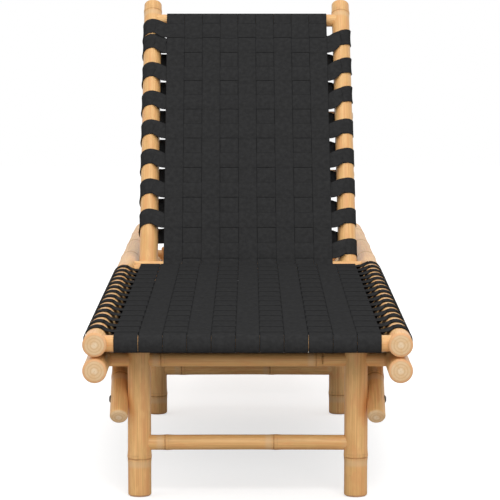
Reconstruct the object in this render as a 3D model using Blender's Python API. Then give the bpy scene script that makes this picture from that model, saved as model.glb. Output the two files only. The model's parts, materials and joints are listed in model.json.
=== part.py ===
"""Bamboo sun lounger with woven webbing and a reclining backrest.

The foot end faces -Y, X runs across and Z is up. The origin is on the ground under the
middle of the side rails. Sizes are in metres.
"""
import math

import bmesh
import bpy
from mathutils import Matrix, Vector

# Driving sizes: side rails
RAIL_LENGTH = 2.22
RAIL_RADIUS = 0.0205
RAIL_SPACING = 0.509
SEAT_RAIL_HEIGHT = 0.280

# Driving sizes: seat frame
SEAT_BAR_RADIUS = 0.0145
SEAT_FRONT_INSET = 0.025
SEAT_MARGIN = 0.0475
SEAT_WEFT_TURNS = 15
SEAT_WEFT_PITCH = 0.080
SEAT_WARPS = 11
SEAT_WARP_PITCH = 0.0405

# Driving sizes: webbing
STRAP_WIDTH = 0.0375
STRAP_THICKNESS = 0.001

# Driving sizes: legs, stretchers and knee braces
LEG_RADIUS = 0.020
LEG_SPACING = 0.371
LEG_INSET = 0.153
CROSS_BAR_RADIUS = 0.0125
STRETCHER_RADIUS = 0.0118
STRETCHER_HEIGHT = 0.097
BRACE_ANGLE = 37.0
BRACE_BOLT_DROP = 0.0685
BRACE_FOOT = 0.035
BRACE_TOP = 0.095

# Driving sizes: backrest
RECLINE_ANGLE = 50.5
BACK_GAP = 0.0727
BACK_POLE_RADIUS = 0.0195
BACK_POLE_SPACING = 0.421
BACK_POLE_TAIL = 0.022
BACK_POLE_OVERHANG = 0.058
BACK_BAR_RADIUS = 0.0145
BACK_POLE_SETBACK = 0.010
TOP_RAIL_SETBACK = 0.007
BACK_WEFT_TURNS = 9
BACK_WEFT_PITCH = 0.0792
BACK_MARGIN = 0.0192
BACK_WARPS = 9
BACK_WARP_PITCH = 0.0396
STIFFENER_BAND = 5
STIFFENER_LENGTH = 0.462

# Driving sizes: prop frame, its staples and the rack laths
PROP_BAND = 3
PROP_LENGTH = 0.350
PROP_BAR_RADIUS = 0.012
PROP_LEG_RADIUS = 0.0095
PROP_LEG_SPACING = 0.210
PROP_FOOT_RADIUS = 0.011
PROP_FOOT_LENGTH = 0.330
TENON_RADIUS = 0.005
TENON_DEPTH = 0.008
STAPLE_RADIUS = 0.0015
STAPLE_DEPTH = 0.012
STAPLE_STEPS = 8
RACK_WIDTH = 0.018
RACK_DEPTH = 0.026
RACK_SPACING = 0.290
RACK_OVERRUN = 0.030
STOP_LENGTH = 0.030
STOP_HEIGHT = 0.014

# Driving sizes: fasteners
BOLT_RADIUS = 0.003
BOLT_HEAD_RADIUS = 0.0065
BOLT_HEAD_HEIGHT = 0.0035
DOWEL_RADIUS = 0.005
DOWEL_LENGTH = 0.024
DOWEL_BAND = 9
DOWEL_REAR_INSET = 0.49

# Bamboo nodes as shares of a pole's length, clear of the webbing
SEAT_RAIL_NODES = (0.66, 0.79, 0.92)
BASE_RAIL_NODES = (0.63, 0.75, 0.88)
LEG_NODES = (0.24,)
CROSS_BAR_NODES = (0.2, 0.74)
STRETCHER_NODES = (0.13, 0.63)
BRACE_NODES = (0.62,)
POLE_NODES = (0.965,)
STIFFENER_NODES = (0.3, 0.62)

# Named clearances and joint depths
CLEARANCE = 0.0003
SLIDING_CLEARANCE = 0.0005
STRAP_CLEARANCE = 0.0004
MORTISE_DEPTH = 0.010
NODE_SWELL = 1.05
NODE_HALF_WIDTH = 0.006
END_ROUNDING = 0.0025
CUTTER_TWIST = 7.0

ARC_POINTS = 7


def wrap_radius(core):
    """Radius of the webbing's middle where its straight facets clear a round core."""
    return (core + STRAP_CLEARANCE + STRAP_THICKNESS / 2) / math.cos(math.pi / 2 / (ARC_POINTS - 1))


# Derived places, seat frame
LAYER = STRAP_THICKNESS + STRAP_CLEARANCE
RAIL_GAP = wrap_radius(RAIL_RADIUS) + STRAP_THICKNESS / 2 + STRAP_CLEARANCE - RAIL_RADIUS
RAIL_X = RAIL_SPACING / 2
BASE_RAIL_HEIGHT = SEAT_RAIL_HEIGHT - 2 * RAIL_RADIUS - RAIL_GAP
INNER_FACE = RAIL_X - RAIL_RADIUS
FOOT_END = -RAIL_LENGTH / 2
SEAT_FRONT_Y = FOOT_END + SEAT_FRONT_INSET
SEAT_LENGTH = (SEAT_WEFT_TURNS - 1) * SEAT_WEFT_PITCH + 2 * SEAT_MARGIN
SEAT_REAR_Y = SEAT_FRONT_Y + SEAT_LENGTH
LEG_X = LEG_SPACING / 2
LEG_TOP = SEAT_RAIL_HEIGHT - RAIL_RADIUS - RAIL_GAP - CLEARANCE
LEG_ROWS = {"front": FOOT_END + LEG_INSET, "middle": 0.0, "head": -FOOT_END - LEG_INSET}
BAR_END = INNER_FACE + MORTISE_DEPTH
DOWEL_ROWS = (SEAT_REAR_Y - SEAT_MARGIN - DOWEL_BAND * SEAT_WEFT_PITCH, -FOOT_END - DOWEL_REAR_INSET)

# Derived places, backrest: u runs up the poles, w points to the front of the panel
PIVOT = Vector((0.0, SEAT_REAR_Y + BACK_GAP, SEAT_RAIL_HEIGHT))
RECLINE = math.radians(RECLINE_ANGLE)
POLE_AXIS = Vector((0.0, math.cos(RECLINE), math.sin(RECLINE)))
FRONT_AXIS = Vector((0.0, -math.sin(RECLINE), math.cos(RECLINE)))
BACK_FIRST_BAND = BACK_BAR_RADIUS + BACK_MARGIN
TOP_RAIL_U = BACK_FIRST_BAND + (BACK_WEFT_TURNS - 1) * BACK_WEFT_PITCH + BACK_MARGIN / 4
POLE_TOP_U = TOP_RAIL_U + BACK_POLE_OVERHANG
POLE_X = BACK_POLE_SPACING / 2
BEHIND_POLE_W = -BACK_POLE_SETBACK - BACK_POLE_RADIUS - CLEARANCE
STIFFENER_U = BACK_FIRST_BAND + STIFFENER_BAND * BACK_WEFT_PITCH
PROP_U = BACK_FIRST_BAND + PROP_BAND * BACK_WEFT_PITCH
BAR_BEHIND_W = BEHIND_POLE_W - PROP_BAR_RADIUS

# Derived places, prop frame
RACK_TOP = BASE_RAIL_HEIGHT - CROSS_BAR_RADIUS - CLEARANCE
PROP_FOOT_Z = RACK_TOP + PROP_FOOT_RADIUS + SLIDING_CLEARANCE


def back_point(x, u, w):
    """World place of a point given in the backrest's own directions."""
    return PIVOT + Vector((x, 0.0, 0.0)) + POLE_AXIS * u + FRONT_AXIS * w


PROP_HINGE = back_point(0.0, PROP_U, BAR_BEHIND_W)
PROP_DROP = PROP_HINGE.z - PROP_FOOT_Z
PROP_FOOT = PROP_HINGE + Vector((0.0, math.sqrt(PROP_LENGTH**2 - PROP_DROP**2), -PROP_DROP))


def clear_scene():
    """Remove what a new Blender file holds."""
    for item in list(bpy.data.objects):
        bpy.data.objects.remove(item, do_unlink=True)


def new_collection(name):
    """A collection under the scene."""
    group = bpy.data.collections.new(name)
    bpy.context.scene.collection.children.link(group)
    return group


clear_scene()
PARTS = new_collection("sun_lounger")
CUTTERS = new_collection("cutters")


def new_material(name, colour, roughness, metallic=0.0):
    """A Principled material in one plain colour."""
    material = bpy.data.materials.new(name)
    material.use_nodes = True
    shader = material.node_tree.nodes["Principled BSDF"]
    shader.inputs["Base Color"].default_value = (*colour, 1.0)
    shader.inputs["Roughness"].default_value = roughness
    shader.inputs["Metallic"].default_value = metallic
    return material


BAMBOO = ((0.74, 0.49, 0.22), 0.45)
WEBBING = ((0.035, 0.036, 0.040), 0.85)
STEEL = ((0.10, 0.09, 0.08), 0.40, 1.0)


def add_part(name, mesh, finish):
    """Put a mesh in the model under its node's name with a material of its own."""
    mesh.materials.clear()
    mesh.materials.append(new_material(name + "_material", *finish))
    part = bpy.data.objects.new(name, mesh)
    PARTS.objects.link(part)
    mesh.shade_smooth()
    mesh.set_sharp_from_angle(angle=math.radians(40))
    return part


def tube_mesh(points, radii, resolution):
    """A closed round tube through points, each with its own radius."""
    curve = bpy.data.curves.new("tube", "CURVE")
    curve.dimensions = "3D"
    curve.bevel_depth = 1.0
    curve.bevel_resolution = resolution
    curve.use_fill_caps = True
    spline = curve.splines.new("POLY")
    spline.points.add(len(points) - 1)
    for spot, place, radius in zip(spline.points, points, radii):
        spot.co = (*place, 1.0)
        spot.radius = radius
    carrier = bpy.data.objects.new("tube", curve)
    bpy.context.scene.collection.objects.link(carrier)
    graph = bpy.context.evaluated_depsgraph_get()
    mesh = bpy.data.meshes.new_from_object(carrier.evaluated_get(graph))
    bpy.data.objects.remove(carrier, do_unlink=True)
    shell = bmesh.new()
    shell.from_mesh(mesh)
    bmesh.ops.remove_doubles(shell, verts=shell.verts, dist=1e-6)
    bmesh.ops.recalc_face_normals(shell, faces=shell.faces)
    shell.to_mesh(mesh)
    shell.free()
    return mesh


def culm_profile(length, radius, nodes):
    """Stations and radii of a bamboo pole: rounded ends and a swell at every node."""
    stations = [(0.0, radius - END_ROUNDING), (END_ROUNDING, radius)]
    for share in nodes:
        middle = share * length
        stations.append((middle - NODE_HALF_WIDTH, radius))
        stations.append((middle, radius * NODE_SWELL))
        stations.append((middle + NODE_HALF_WIDTH, radius))
    stations.append((length - END_ROUNDING, radius))
    stations.append((length, radius - END_ROUNDING))
    return stations


def add_culm(name, start, end, radius, nodes=(), resolution=4):
    """A straight bamboo pole from start to end with nodes at shares of its length."""
    start, end = Vector(start), Vector(end)
    along = (end - start).normalized()
    stations = culm_profile((end - start).length, radius, nodes)
    points = [start + along * place for place, _ in stations]
    mesh = tube_mesh(points, [size for _, size in stations], resolution)
    return add_part(name, mesh, BAMBOO)


def cylinder_mesh(start, end, radius, sides=16, twist=0.0):
    """A closed cylinder between two points; the twist keeps its facets off another piece's edges."""
    start, end = Vector(start), Vector(end)
    shape = bmesh.new()
    bmesh.ops.create_cone(shape, cap_ends=True, segments=sides, radius1=radius, radius2=radius,
                          depth=(end - start).length)
    turn = (end - start).to_track_quat("Z", "Y").to_matrix().to_4x4()
    spin = Matrix.Rotation(math.radians(twist), 4, "Z")
    shape.transform(Matrix.Translation((start + end) / 2) @ turn @ spin)
    mesh = bpy.data.meshes.new("cylinder")
    shape.to_mesh(mesh)
    shape.free()
    return mesh


def add_cutter(name, start, end, radius, sides=16):
    """A cylinder that only cuts."""
    cutter = bpy.data.objects.new(name, cylinder_mesh(start, end, radius, sides, CUTTER_TWIST))
    CUTTERS.objects.link(cutter)
    cutter.hide_render = True
    cutter.display_type = "WIRE"
    return cutter


def cut(target, cutters):
    """Take the cutters away from the target, one Boolean each."""
    for cutter in cutters:
        modifier = target.modifiers.new(cutter.name, "BOOLEAN")
        modifier.operation = "DIFFERENCE"
        modifier.solver = "EXACT"
        modifier.object = cutter


def bolt_mesh(head, tip):
    """A round-headed bolt: head is where the head seats, tip is the far end of the shank."""
    head, tip = Vector(head), Vector(tip)
    along = (tip - head).normalized()
    seat = head - along * CLEARANCE
    crown = seat - along * BOLT_HEAD_HEIGHT
    stations = [(crown, BOLT_HEAD_RADIUS * 0.6), (seat - along * BOLT_HEAD_HEIGHT / 2, BOLT_HEAD_RADIUS),
                (seat, BOLT_HEAD_RADIUS), (seat + along * CLEARANCE, BOLT_RADIUS), (tip, BOLT_RADIUS)]
    return tube_mesh([place for place, _ in stations], [size for _, size in stations], 2)


def strap_mesh(path, faces, across):
    """Flat webbing swept along a path; faces holds its outward side at each point."""
    shape = bmesh.new()
    rings = []
    wide = across * STRAP_WIDTH / 2
    for place, face in zip(path, faces):
        thick = face * STRAP_THICKNESS / 2
        corners = [place - wide - thick, place + wide - thick, place + wide + thick, place - wide + thick]
        rings.append([shape.verts.new(corner) for corner in corners])
    for ring, following in zip(rings, rings[1:]):
        for corner in range(4):
            beside = (corner + 1) % 4
            shape.faces.new([ring[corner], ring[beside], following[beside], following[corner]])
    shape.faces.new(list(reversed(rings[0])))
    shape.faces.new(rings[-1])
    bmesh.ops.recalc_face_normals(shape, faces=shape.faces)
    mesh = bpy.data.meshes.new("strap")
    shape.to_mesh(mesh)
    shape.free()
    return mesh


def ease(share):
    """A smooth step from 0 to 1."""
    return share * share * (3 - 2 * share)


def print_least_gap(name, path, reach):
    """Print the least distance between the middles of a winding's turns, less its thickness."""
    least = min((first - second).length
                for index, first in enumerate(path) for second in path[index + reach:])
    print(f"{name}: least gap between turns {(least - STRAP_THICKNESS) * 1000:.2f} mm")


def weft_path(turns, first, pitch, rail_x, rail_w, radius, panel_half, panel_level, lead_in):
    """Winding in flat coordinates (x, along, up): over the panel, round a rail and back behind it."""
    path, faces = [], []

    def arc(side, start, end, from_top):
        for step in range(ARC_POINTS):
            share = step / (ARC_POINTS - 1)
            angle = math.pi * share if from_top else math.pi * (1 - share)
            along = start + (end - start) * ease(share)
            out = Vector((side * math.sin(angle), 0.0, math.cos(angle)))
            path.append(Vector((side * rail_x, along, rail_w)) + out * radius)
            faces.append(out)

    up = Vector((0.0, 0.0, 1.0))
    if lead_in:
        arc(-1, first - pitch, first - pitch / 2, True)
        arc(1, first - pitch / 2, first, False)
    for turn in range(turns):
        along = first + turn * pitch
        if turn == 0 and not lead_in:
            path.append(Vector((rail_x, along, rail_w + radius)))
            faces.append(up)
        for side in (1, -1):
            path.append(Vector((side * panel_half, along, panel_level(along))))
            faces.append(up)
        arc(-1, along, along + pitch / 2, True)
        if turn < turns - 1:
            arc(1, along + pitch / 2, along + pitch, False)
    return path, faces


def warp_path(columns, pitch, low, high, radius):
    """One strap wound lengthwise round two bars, in (x, along, up): straight above, slanting below."""
    along = (high - low).normalized()
    up = Vector((-along.y, along.x))
    path, faces = [], []

    def arc(x, centre, outward, from_top):
        for step in range(ARC_POINTS):
            share = step / (ARC_POINTS - 1)
            angle = math.pi * (share if from_top else 1 - share)
            out = up * math.cos(angle) + along * outward * math.sin(angle)
            spot = centre + out * radius
            path.append(Vector((x, spot.x, spot.y)))
            faces.append(out)

    for column in range(columns):
        x = (column - (columns - 1) / 2) * pitch
        arc(x, low, -1, False)
        arc(x, high, 1, True)
    return path, faces


SIDES = {"left": -1, "right": 1}


def add_rails():
    """Upper seat rails and lower base rails, pinned together by dowels."""
    rails = {}
    levels = {"seat_rail": (SEAT_RAIL_HEIGHT, SEAT_RAIL_NODES), "base_rail": (BASE_RAIL_HEIGHT, BASE_RAIL_NODES)}
    for label, (height, nodes) in levels.items():
        for side_name, side in SIDES.items():
            x = side * RAIL_X
            rails[label, side_name] = add_culm(f"{label}_{side_name}", (x, FOOT_END, height),
                                               (x, -FOOT_END, height), RAIL_RADIUS, nodes)
    middle = (SEAT_RAIL_HEIGHT + BASE_RAIL_HEIGHT) / 2
    grow = Vector((0.0, 0.0, CLEARANCE))
    for side_name, side in SIDES.items():
        for index, y in enumerate(DOWEL_ROWS):
            low = Vector((side * RAIL_X, y, middle - DOWEL_LENGTH / 2))
            high = Vector((side * RAIL_X, y, middle + DOWEL_LENGTH / 2))
            add_part(f"rail_dowel_{side_name}_{index + 1}", cylinder_mesh(low, high, DOWEL_RADIUS, 10), BAMBOO)
            hole = add_cutter(f"dowel_hole_{side_name}_{index + 1}", low - grow, high + grow,
                              DOWEL_RADIUS + CLEARANCE, 10)
            cut(rails["seat_rail", side_name], [hole])
            cut(rails["base_rail", side_name], [hole])
    return rails


def mortise_pair(name, rails, y, z, radius, sides=12):
    """Blind holes for a cross bar in the left and right rail, from the inner faces."""
    for side_name, side in SIDES.items():
        start = (side * (INNER_FACE - MORTISE_DEPTH), y, z)
        end = (side * (BAR_END + CLEARANCE), y, z)
        cut(rails[side_name], [add_cutter(f"{name}_{side_name}", start, end, radius, sides)])


def add_cross_bar(name, y, z, radius, nodes, end=BAR_END):
    """A bar from side to side."""
    return add_culm(name, (-end, y, z), (end, y, z), radius, nodes, 3)


def add_seat_frame(rails):
    """Front and rear seat bars between the upper rails."""
    upper = {side: rails["seat_rail", side] for side in SIDES}
    for name, y in (("seat_front_bar", SEAT_FRONT_Y), ("seat_rear_bar", SEAT_REAR_Y)):
        add_cross_bar(name, y, SEAT_RAIL_HEIGHT, SEAT_BAR_RADIUS, ())
        mortise_pair(name + "_mortise", upper, y, SEAT_RAIL_HEIGHT, SEAT_BAR_RADIUS + SLIDING_CLEARANCE)


def add_leg_row(row, y, rails):
    """A pair of legs, the cross bar through their tops and the stretcher between them."""
    lower = {side: rails["base_rail", side] for side in SIDES}
    bar_hole = CROSS_BAR_RADIUS + SLIDING_CLEARANCE
    add_cross_bar(f"{row}_cross_bar", y, BASE_RAIL_HEIGHT, CROSS_BAR_RADIUS, CROSS_BAR_NODES)
    mortise_pair(f"{row}_cross_bar_mortise", lower, y, BASE_RAIL_HEIGHT, bar_hole)
    reach = LEG_X - LEG_RADIUS + MORTISE_DEPTH
    add_culm(f"{row}_stretcher", (-reach, y, STRETCHER_HEIGHT), (reach, y, STRETCHER_HEIGHT),
             STRETCHER_RADIUS, STRETCHER_NODES, 3)
    legs = {}
    for side_name, side in SIDES.items():
        x = side * LEG_X
        leg = add_culm(f"{row}_leg_{side_name}", (x, y, 0.0), (x, y, LEG_TOP), LEG_RADIUS, LEG_NODES)
        through = add_cutter(f"{row}_bar_hole_{side_name}", (x - side * 2 * LEG_RADIUS, y, BASE_RAIL_HEIGHT),
                             (x + side * 2 * LEG_RADIUS, y, BASE_RAIL_HEIGHT), bar_hole, 12)
        socket = add_cutter(f"{row}_stretcher_socket_{side_name}", (side * (LEG_X - 2 * LEG_RADIUS), y, STRETCHER_HEIGHT),
                            (side * (reach + CLEARANCE), y, STRETCHER_HEIGHT), STRETCHER_RADIUS + SLIDING_CLEARANCE, 12)
        cut(leg, [through, socket])
        legs[side_name] = leg
    return legs


BRACE_RADIUS = (INNER_FACE - LEG_X - LEG_RADIUS) / 2 - CLEARANCE
BRACE_X = (INNER_FACE + LEG_X + LEG_RADIUS) / 2


def add_braces(row, y, toward, legs, rails):
    """Knee braces from the outer side of a leg pair to the inner side of the base rails."""
    slope = math.radians(BRACE_ANGLE)
    along = Vector((0.0, toward * math.cos(slope), math.sin(slope)))
    for side_name, side in SIDES.items():
        bolt_place = Vector((side * BRACE_X, y, BASE_RAIL_HEIGHT - BRACE_BOLT_DROP))
        brace = add_culm(f"{row}_brace_{side_name}", bolt_place - along * BRACE_FOOT,
                         bolt_place + along * (BRACE_TOP + BRACE_FOOT / 3), BRACE_RADIUS, BRACE_NODES, 3)
        outer = side * (BRACE_X + BRACE_RADIUS)
        inner = side * (BRACE_X - BRACE_RADIUS)
        lower_head = Vector((outer, bolt_place.y, bolt_place.z))
        lower_tip = Vector((side * LEG_X, bolt_place.y, bolt_place.z))
        high = bolt_place + along * BRACE_TOP
        upper_head = Vector((inner, high.y, high.z))
        upper_tip = Vector((side * (RAIL_X - RAIL_RADIUS / 2), high.y, high.z))
        for tag, head, tip, carrier in (("leg_bolt", lower_head, lower_tip, legs[side_name]),
                                        ("rail_bolt", upper_head, upper_tip, rails["base_rail", side_name])):
            add_part(f"{row}_brace_{tag}_{side_name}", bolt_mesh(head, tip), STEEL)
            reach = (tip - head).normalized()
            hole = add_cutter(f"{row}_{tag}_{side_name}", head - reach * BOLT_HEAD_RADIUS, tip + reach * CLEARANCE,
                              BOLT_RADIUS + CLEARANCE, 8)
            cut(brace, [hole])
            cut(carrier, [hole])


def add_seat_straps():
    """The lengthwise strap round the seat bars and the crosswise strap round the side rails."""
    low = Vector((SEAT_FRONT_Y, SEAT_RAIL_HEIGHT))
    high = Vector((SEAT_REAR_Y, SEAT_RAIL_HEIGHT))
    path, outward = warp_path(SEAT_WARPS, SEAT_WARP_PITCH, low, high, wrap_radius(SEAT_BAR_RADIUS))
    faces = [Vector((0.0, out.x, out.y)) for out in outward]
    print_least_gap("seat_warp_strap", path, 2 * ARC_POINTS)
    add_part("seat_warp_strap", strap_mesh(path, faces, Vector((1.0, 0.0, 0.0))), WEBBING)
    level = SEAT_RAIL_HEIGHT + wrap_radius(SEAT_BAR_RADIUS) + LAYER
    flat, faces = weft_path(SEAT_WEFT_TURNS, SEAT_MARGIN, SEAT_WEFT_PITCH, RAIL_X, SEAT_RAIL_HEIGHT,
                            wrap_radius(RAIL_RADIUS), SEAT_WARPS * SEAT_WARP_PITCH / 2, lambda along: level, True)
    path = [Vector((spot.x, SEAT_REAR_Y - spot.y, spot.z)) for spot in flat]
    print_least_gap("seat_weft_strap", path, 2 * ARC_POINTS)
    add_part("seat_weft_strap", strap_mesh(path, faces, Vector((0.0, 1.0, 0.0))), WEBBING)


def add_backrest():
    """Poles, bars and bolts of the backrest."""
    poles = {}
    pivot_hole = BACK_BAR_RADIUS + SLIDING_CLEARANCE
    for side_name, side in SIDES.items():
        x = side * POLE_X
        pole = add_culm(f"backrest_pole_{side_name}", back_point(x, -BACK_POLE_TAIL, -BACK_POLE_SETBACK),
                        back_point(x, POLE_TOP_U, -BACK_POLE_SETBACK), BACK_POLE_RADIUS, POLE_NODES)
        saddle = add_cutter(f"pivot_saddle_{side_name}", PIVOT + Vector((x - 2 * BACK_POLE_RADIUS, 0, 0)),
                            PIVOT + Vector((x + 2 * BACK_POLE_RADIUS, 0, 0)), pivot_hole, 16)
        socket = add_cutter(f"top_rail_socket_{side_name}",
                            back_point(side * (POLE_X - 2 * BACK_POLE_RADIUS), TOP_RAIL_U, -TOP_RAIL_SETBACK),
                            back_point(side * (POLE_X + CLEARANCE), TOP_RAIL_U, -TOP_RAIL_SETBACK), pivot_hole, 16)
        head = back_point(x, 0.0, -BACK_POLE_SETBACK - BACK_POLE_RADIUS)
        tip = back_point(x, 0.0, BACK_BAR_RADIUS / 2)
        add_part(f"pivot_screw_{side_name}", bolt_mesh(head, tip), STEEL)
        bore = add_cutter(f"pivot_screw_hole_{side_name}", head - FRONT_AXIS * BOLT_HEAD_RADIUS,
                          tip + FRONT_AXIS * CLEARANCE, BOLT_RADIUS + CLEARANCE, 8)
        cut(pole, [saddle, socket, bore])
        poles[side_name] = (pole, bore)
    pivot_bar = add_culm("backrest_pivot_bar", PIVOT - Vector((BAR_END, 0, 0)), PIVOT + Vector((BAR_END, 0, 0)),
                         BACK_BAR_RADIUS, (), 4)
    cut(pivot_bar, [bore for _, bore in poles.values()])
    top_end = Vector((POLE_X, 0, 0))
    add_culm("backrest_top_rail", back_point(0, TOP_RAIL_U, -TOP_RAIL_SETBACK) - top_end,
             back_point(0, TOP_RAIL_U, -TOP_RAIL_SETBACK) + top_end, BACK_BAR_RADIUS, (), 3)
    half = STIFFENER_LENGTH / 2
    add_culm("backrest_stiffener", back_point(-half, STIFFENER_U, BAR_BEHIND_W),
             back_point(half, STIFFENER_U, BAR_BEHIND_W), PROP_BAR_RADIUS, STIFFENER_NODES, 3)
    for name, u in (("stiffener_staple", STIFFENER_U), ("prop_staple", PROP_U)):
        for side_name, side in SIDES.items():
            add_staple(f"{name}_{side_name}", side * POLE_X, u, poles[side_name][0])


def add_back_straps():
    """The lengthwise strap round the backrest's bars and the crosswise strap round its poles."""
    low = Vector((0.0, 0.0))
    high = Vector((TOP_RAIL_U, -TOP_RAIL_SETBACK))
    flat, outward = warp_path(BACK_WARPS, BACK_WARP_PITCH, low, high, wrap_radius(BACK_BAR_RADIUS))
    path = [back_point(spot.x, spot.y, spot.z) for spot in flat]
    faces = [POLE_AXIS * out.x + FRONT_AXIS * out.y for out in outward]
    print_least_gap("backrest_warp_strap", path, 2 * ARC_POINTS)
    add_part("backrest_warp_strap", strap_mesh(path, faces, Vector((1.0, 0.0, 0.0))), WEBBING)

    def level(along):
        return wrap_radius(BACK_BAR_RADIUS) + LAYER - TOP_RAIL_SETBACK * along / TOP_RAIL_U

    flat, outward = weft_path(BACK_WEFT_TURNS, BACK_FIRST_BAND, BACK_WEFT_PITCH, POLE_X, -BACK_POLE_SETBACK,
                              wrap_radius(BACK_POLE_RADIUS), BACK_WARPS * BACK_WARP_PITCH / 2, level, False)
    path = [back_point(spot.x, spot.y, spot.z) for spot in flat]
    faces = [Vector((out.x, 0, 0)) + FRONT_AXIS * out.z for out in outward]
    print_least_gap("backrest_weft_strap", path, 2 * ARC_POINTS)
    add_part("backrest_weft_strap", strap_mesh(path, faces, POLE_AXIS), WEBBING)


def add_staple(name, x, u, pole):
    """A steel staple that holds a bar against the back of a pole, its legs driven into the pole."""
    bend = PROP_BAR_RADIUS + SLIDING_CLEARANCE + STAPLE_RADIUS
    deep = BEHIND_POLE_W + CLEARANCE + STAPLE_DEPTH
    points = [back_point(x, u - bend, deep)]
    for step in range(STAPLE_STEPS + 1):
        angle = math.pi * step / STAPLE_STEPS
        points.append(back_point(x, u - bend * math.cos(angle), BAR_BEHIND_W - bend * math.sin(angle)))
    points.append(back_point(x, u + bend, deep))
    add_part(name, tube_mesh(points, [STAPLE_RADIUS] * len(points), 2), STEEL)
    for tag, place in (("low", u - bend), ("high", u + bend)):
        hole = add_cutter(f"{name}_{tag}_hole", back_point(x, place, BEHIND_POLE_W - STAPLE_DEPTH),
                          back_point(x, place, deep + CLEARANCE), STAPLE_RADIUS + CLEARANCE, 8)
        cut(pole, [hole])


def add_prop():
    """The swinging frame behind the backrest, drawn on its hinge axis."""
    along = (PROP_FOOT - PROP_HINGE).normalized()
    half = Vector((STIFFENER_LENGTH / 2, 0, 0))
    bar = add_culm("prop_hinge_bar", PROP_HINGE - half, PROP_HINGE + half, PROP_BAR_RADIUS, STIFFENER_NODES, 3)
    foot_half = Vector((PROP_FOOT_LENGTH / 2, 0, 0))
    foot = add_culm("prop_foot_bar", PROP_FOOT - foot_half, PROP_FOOT + foot_half, PROP_FOOT_RADIUS, (), 3)
    for side_name, side in SIDES.items():
        x = Vector((side * PROP_LEG_SPACING / 2, 0, 0))
        top = PROP_HINGE + x + along * (PROP_BAR_RADIUS + CLEARANCE)
        bottom = PROP_FOOT + x - along * (PROP_FOOT_RADIUS + CLEARANCE)
        deep = along * TENON_DEPTH
        stations = [(top - deep, TENON_RADIUS), (top, TENON_RADIUS), (top, PROP_LEG_RADIUS),
                    (bottom, PROP_LEG_RADIUS), (bottom, TENON_RADIUS), (bottom + deep, TENON_RADIUS)]
        sleeve = [cylinder_mesh(stations[0][0], stations[1][0] + along * TENON_DEPTH, TENON_RADIUS, 10),
                  cylinder_mesh(top, bottom, PROP_LEG_RADIUS, 12),
                  cylinder_mesh(bottom - along * TENON_DEPTH, stations[5][0], TENON_RADIUS, 10)]
        leg = add_part(f"prop_leg_{side_name}", sleeve[1], BAMBOO)
        for tag, tenon, bar_part, end in (("top", sleeve[0], bar, top), ("foot", sleeve[2], foot, bottom)):
            peg = bpy.data.objects.new(f"prop_{tag}_tenon_{side_name}", tenon)
            CUTTERS.objects.link(peg)
            peg.hide_render = True
            peg.display_type = "WIRE"
            joint = leg.modifiers.new(peg.name, "BOOLEAN")
            joint.operation = "UNION"
            joint.solver = "EXACT"
            joint.object = peg
            outward = -along if tag == "top" else along
            hole = add_cutter(f"prop_{tag}_socket_{side_name}", end - outward * TENON_DEPTH,
                              end + outward * (TENON_DEPTH + CLEARANCE), TENON_RADIUS + CLEARANCE, 10)
            cut(bar_part, [hole])


def box_mesh(low, high):
    """A closed box between two corners."""
    shape = bmesh.new()
    low, high = Vector(low), Vector(high)
    size = high - low
    bmesh.ops.create_cube(shape, size=1.0, matrix=Matrix.Translation((low + high) / 2) @ Matrix.Diagonal((*size, 1.0)))
    mesh = bpy.data.meshes.new("box")
    shape.to_mesh(mesh)
    shape.free()
    return mesh


def add_racks():
    """Two laths under the cross bars that the prop's foot slides on, with front stops."""
    for side_name, side in SIDES.items():
        x = side * RACK_SPACING / 2
        low = (x - RACK_WIDTH / 2, LEG_ROWS["middle"] - RACK_OVERRUN, RACK_TOP - RACK_DEPTH)
        high = (x + RACK_WIDTH / 2, LEG_ROWS["head"] + RACK_OVERRUN, RACK_TOP)
        add_part(f"rack_lath_{side_name}", box_mesh(low, high), BAMBOO)
        stop_y = PROP_FOOT.y - PROP_FOOT_RADIUS - SLIDING_CLEARANCE
        stop = box_mesh((low[0], stop_y - STOP_LENGTH, RACK_TOP + CLEARANCE),
                        (high[0], stop_y, RACK_TOP + CLEARANCE + STOP_HEIGHT))
        add_part(f"rack_stop_{side_name}", stop, BAMBOO)


def build():
    """Make every piece of the lounger."""
    rails = add_rails()
    add_seat_frame(rails)
    for row, y in LEG_ROWS.items():
        legs = add_leg_row(row, y, rails)
        if row == "front":
            add_braces(row, y, 1, legs, rails)
        if row == "head":
            add_braces(row, y, -1, legs, rails)
    upper = {side: rails["seat_rail", side] for side in SIDES}
    mortise_pair("pivot_mortise", upper, PIVOT.y, PIVOT.z, BACK_BAR_RADIUS + SLIDING_CLEARANCE, 24)
    add_seat_straps()
    add_backrest()
    add_back_straps()
    add_prop()
    add_racks()


build()
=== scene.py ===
"""Looks of a bamboo sun lounger: culms with nodes and end grain, woven tape and dark steel fittings."""

import json
import logging
import math
import random
from dataclasses import dataclass
from enum import Enum
from typing import NamedTuple

import bmesh
import bpy
from mathutils import Matrix, Vector


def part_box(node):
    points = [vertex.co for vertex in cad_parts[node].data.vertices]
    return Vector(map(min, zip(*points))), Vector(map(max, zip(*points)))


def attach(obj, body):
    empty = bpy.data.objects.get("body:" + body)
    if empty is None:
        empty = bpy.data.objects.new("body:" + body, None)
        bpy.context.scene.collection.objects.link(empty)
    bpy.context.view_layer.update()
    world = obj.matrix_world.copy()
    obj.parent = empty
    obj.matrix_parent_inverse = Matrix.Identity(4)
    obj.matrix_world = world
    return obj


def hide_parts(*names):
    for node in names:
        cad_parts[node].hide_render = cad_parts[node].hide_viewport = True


logging.basicConfig(level=logging.INFO, format="%(message)s")
LOG = logging.getLogger("lounger")
SIDES = {"left": -1.0, "right": 1.0}
# A culm's radius at its nodes over its radius between them
NODE_STOUT = 1.05
# From the seed of a culm's unevenness to the seed of its bend and its pattern
CULM_SEED_STEP = 500

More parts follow.
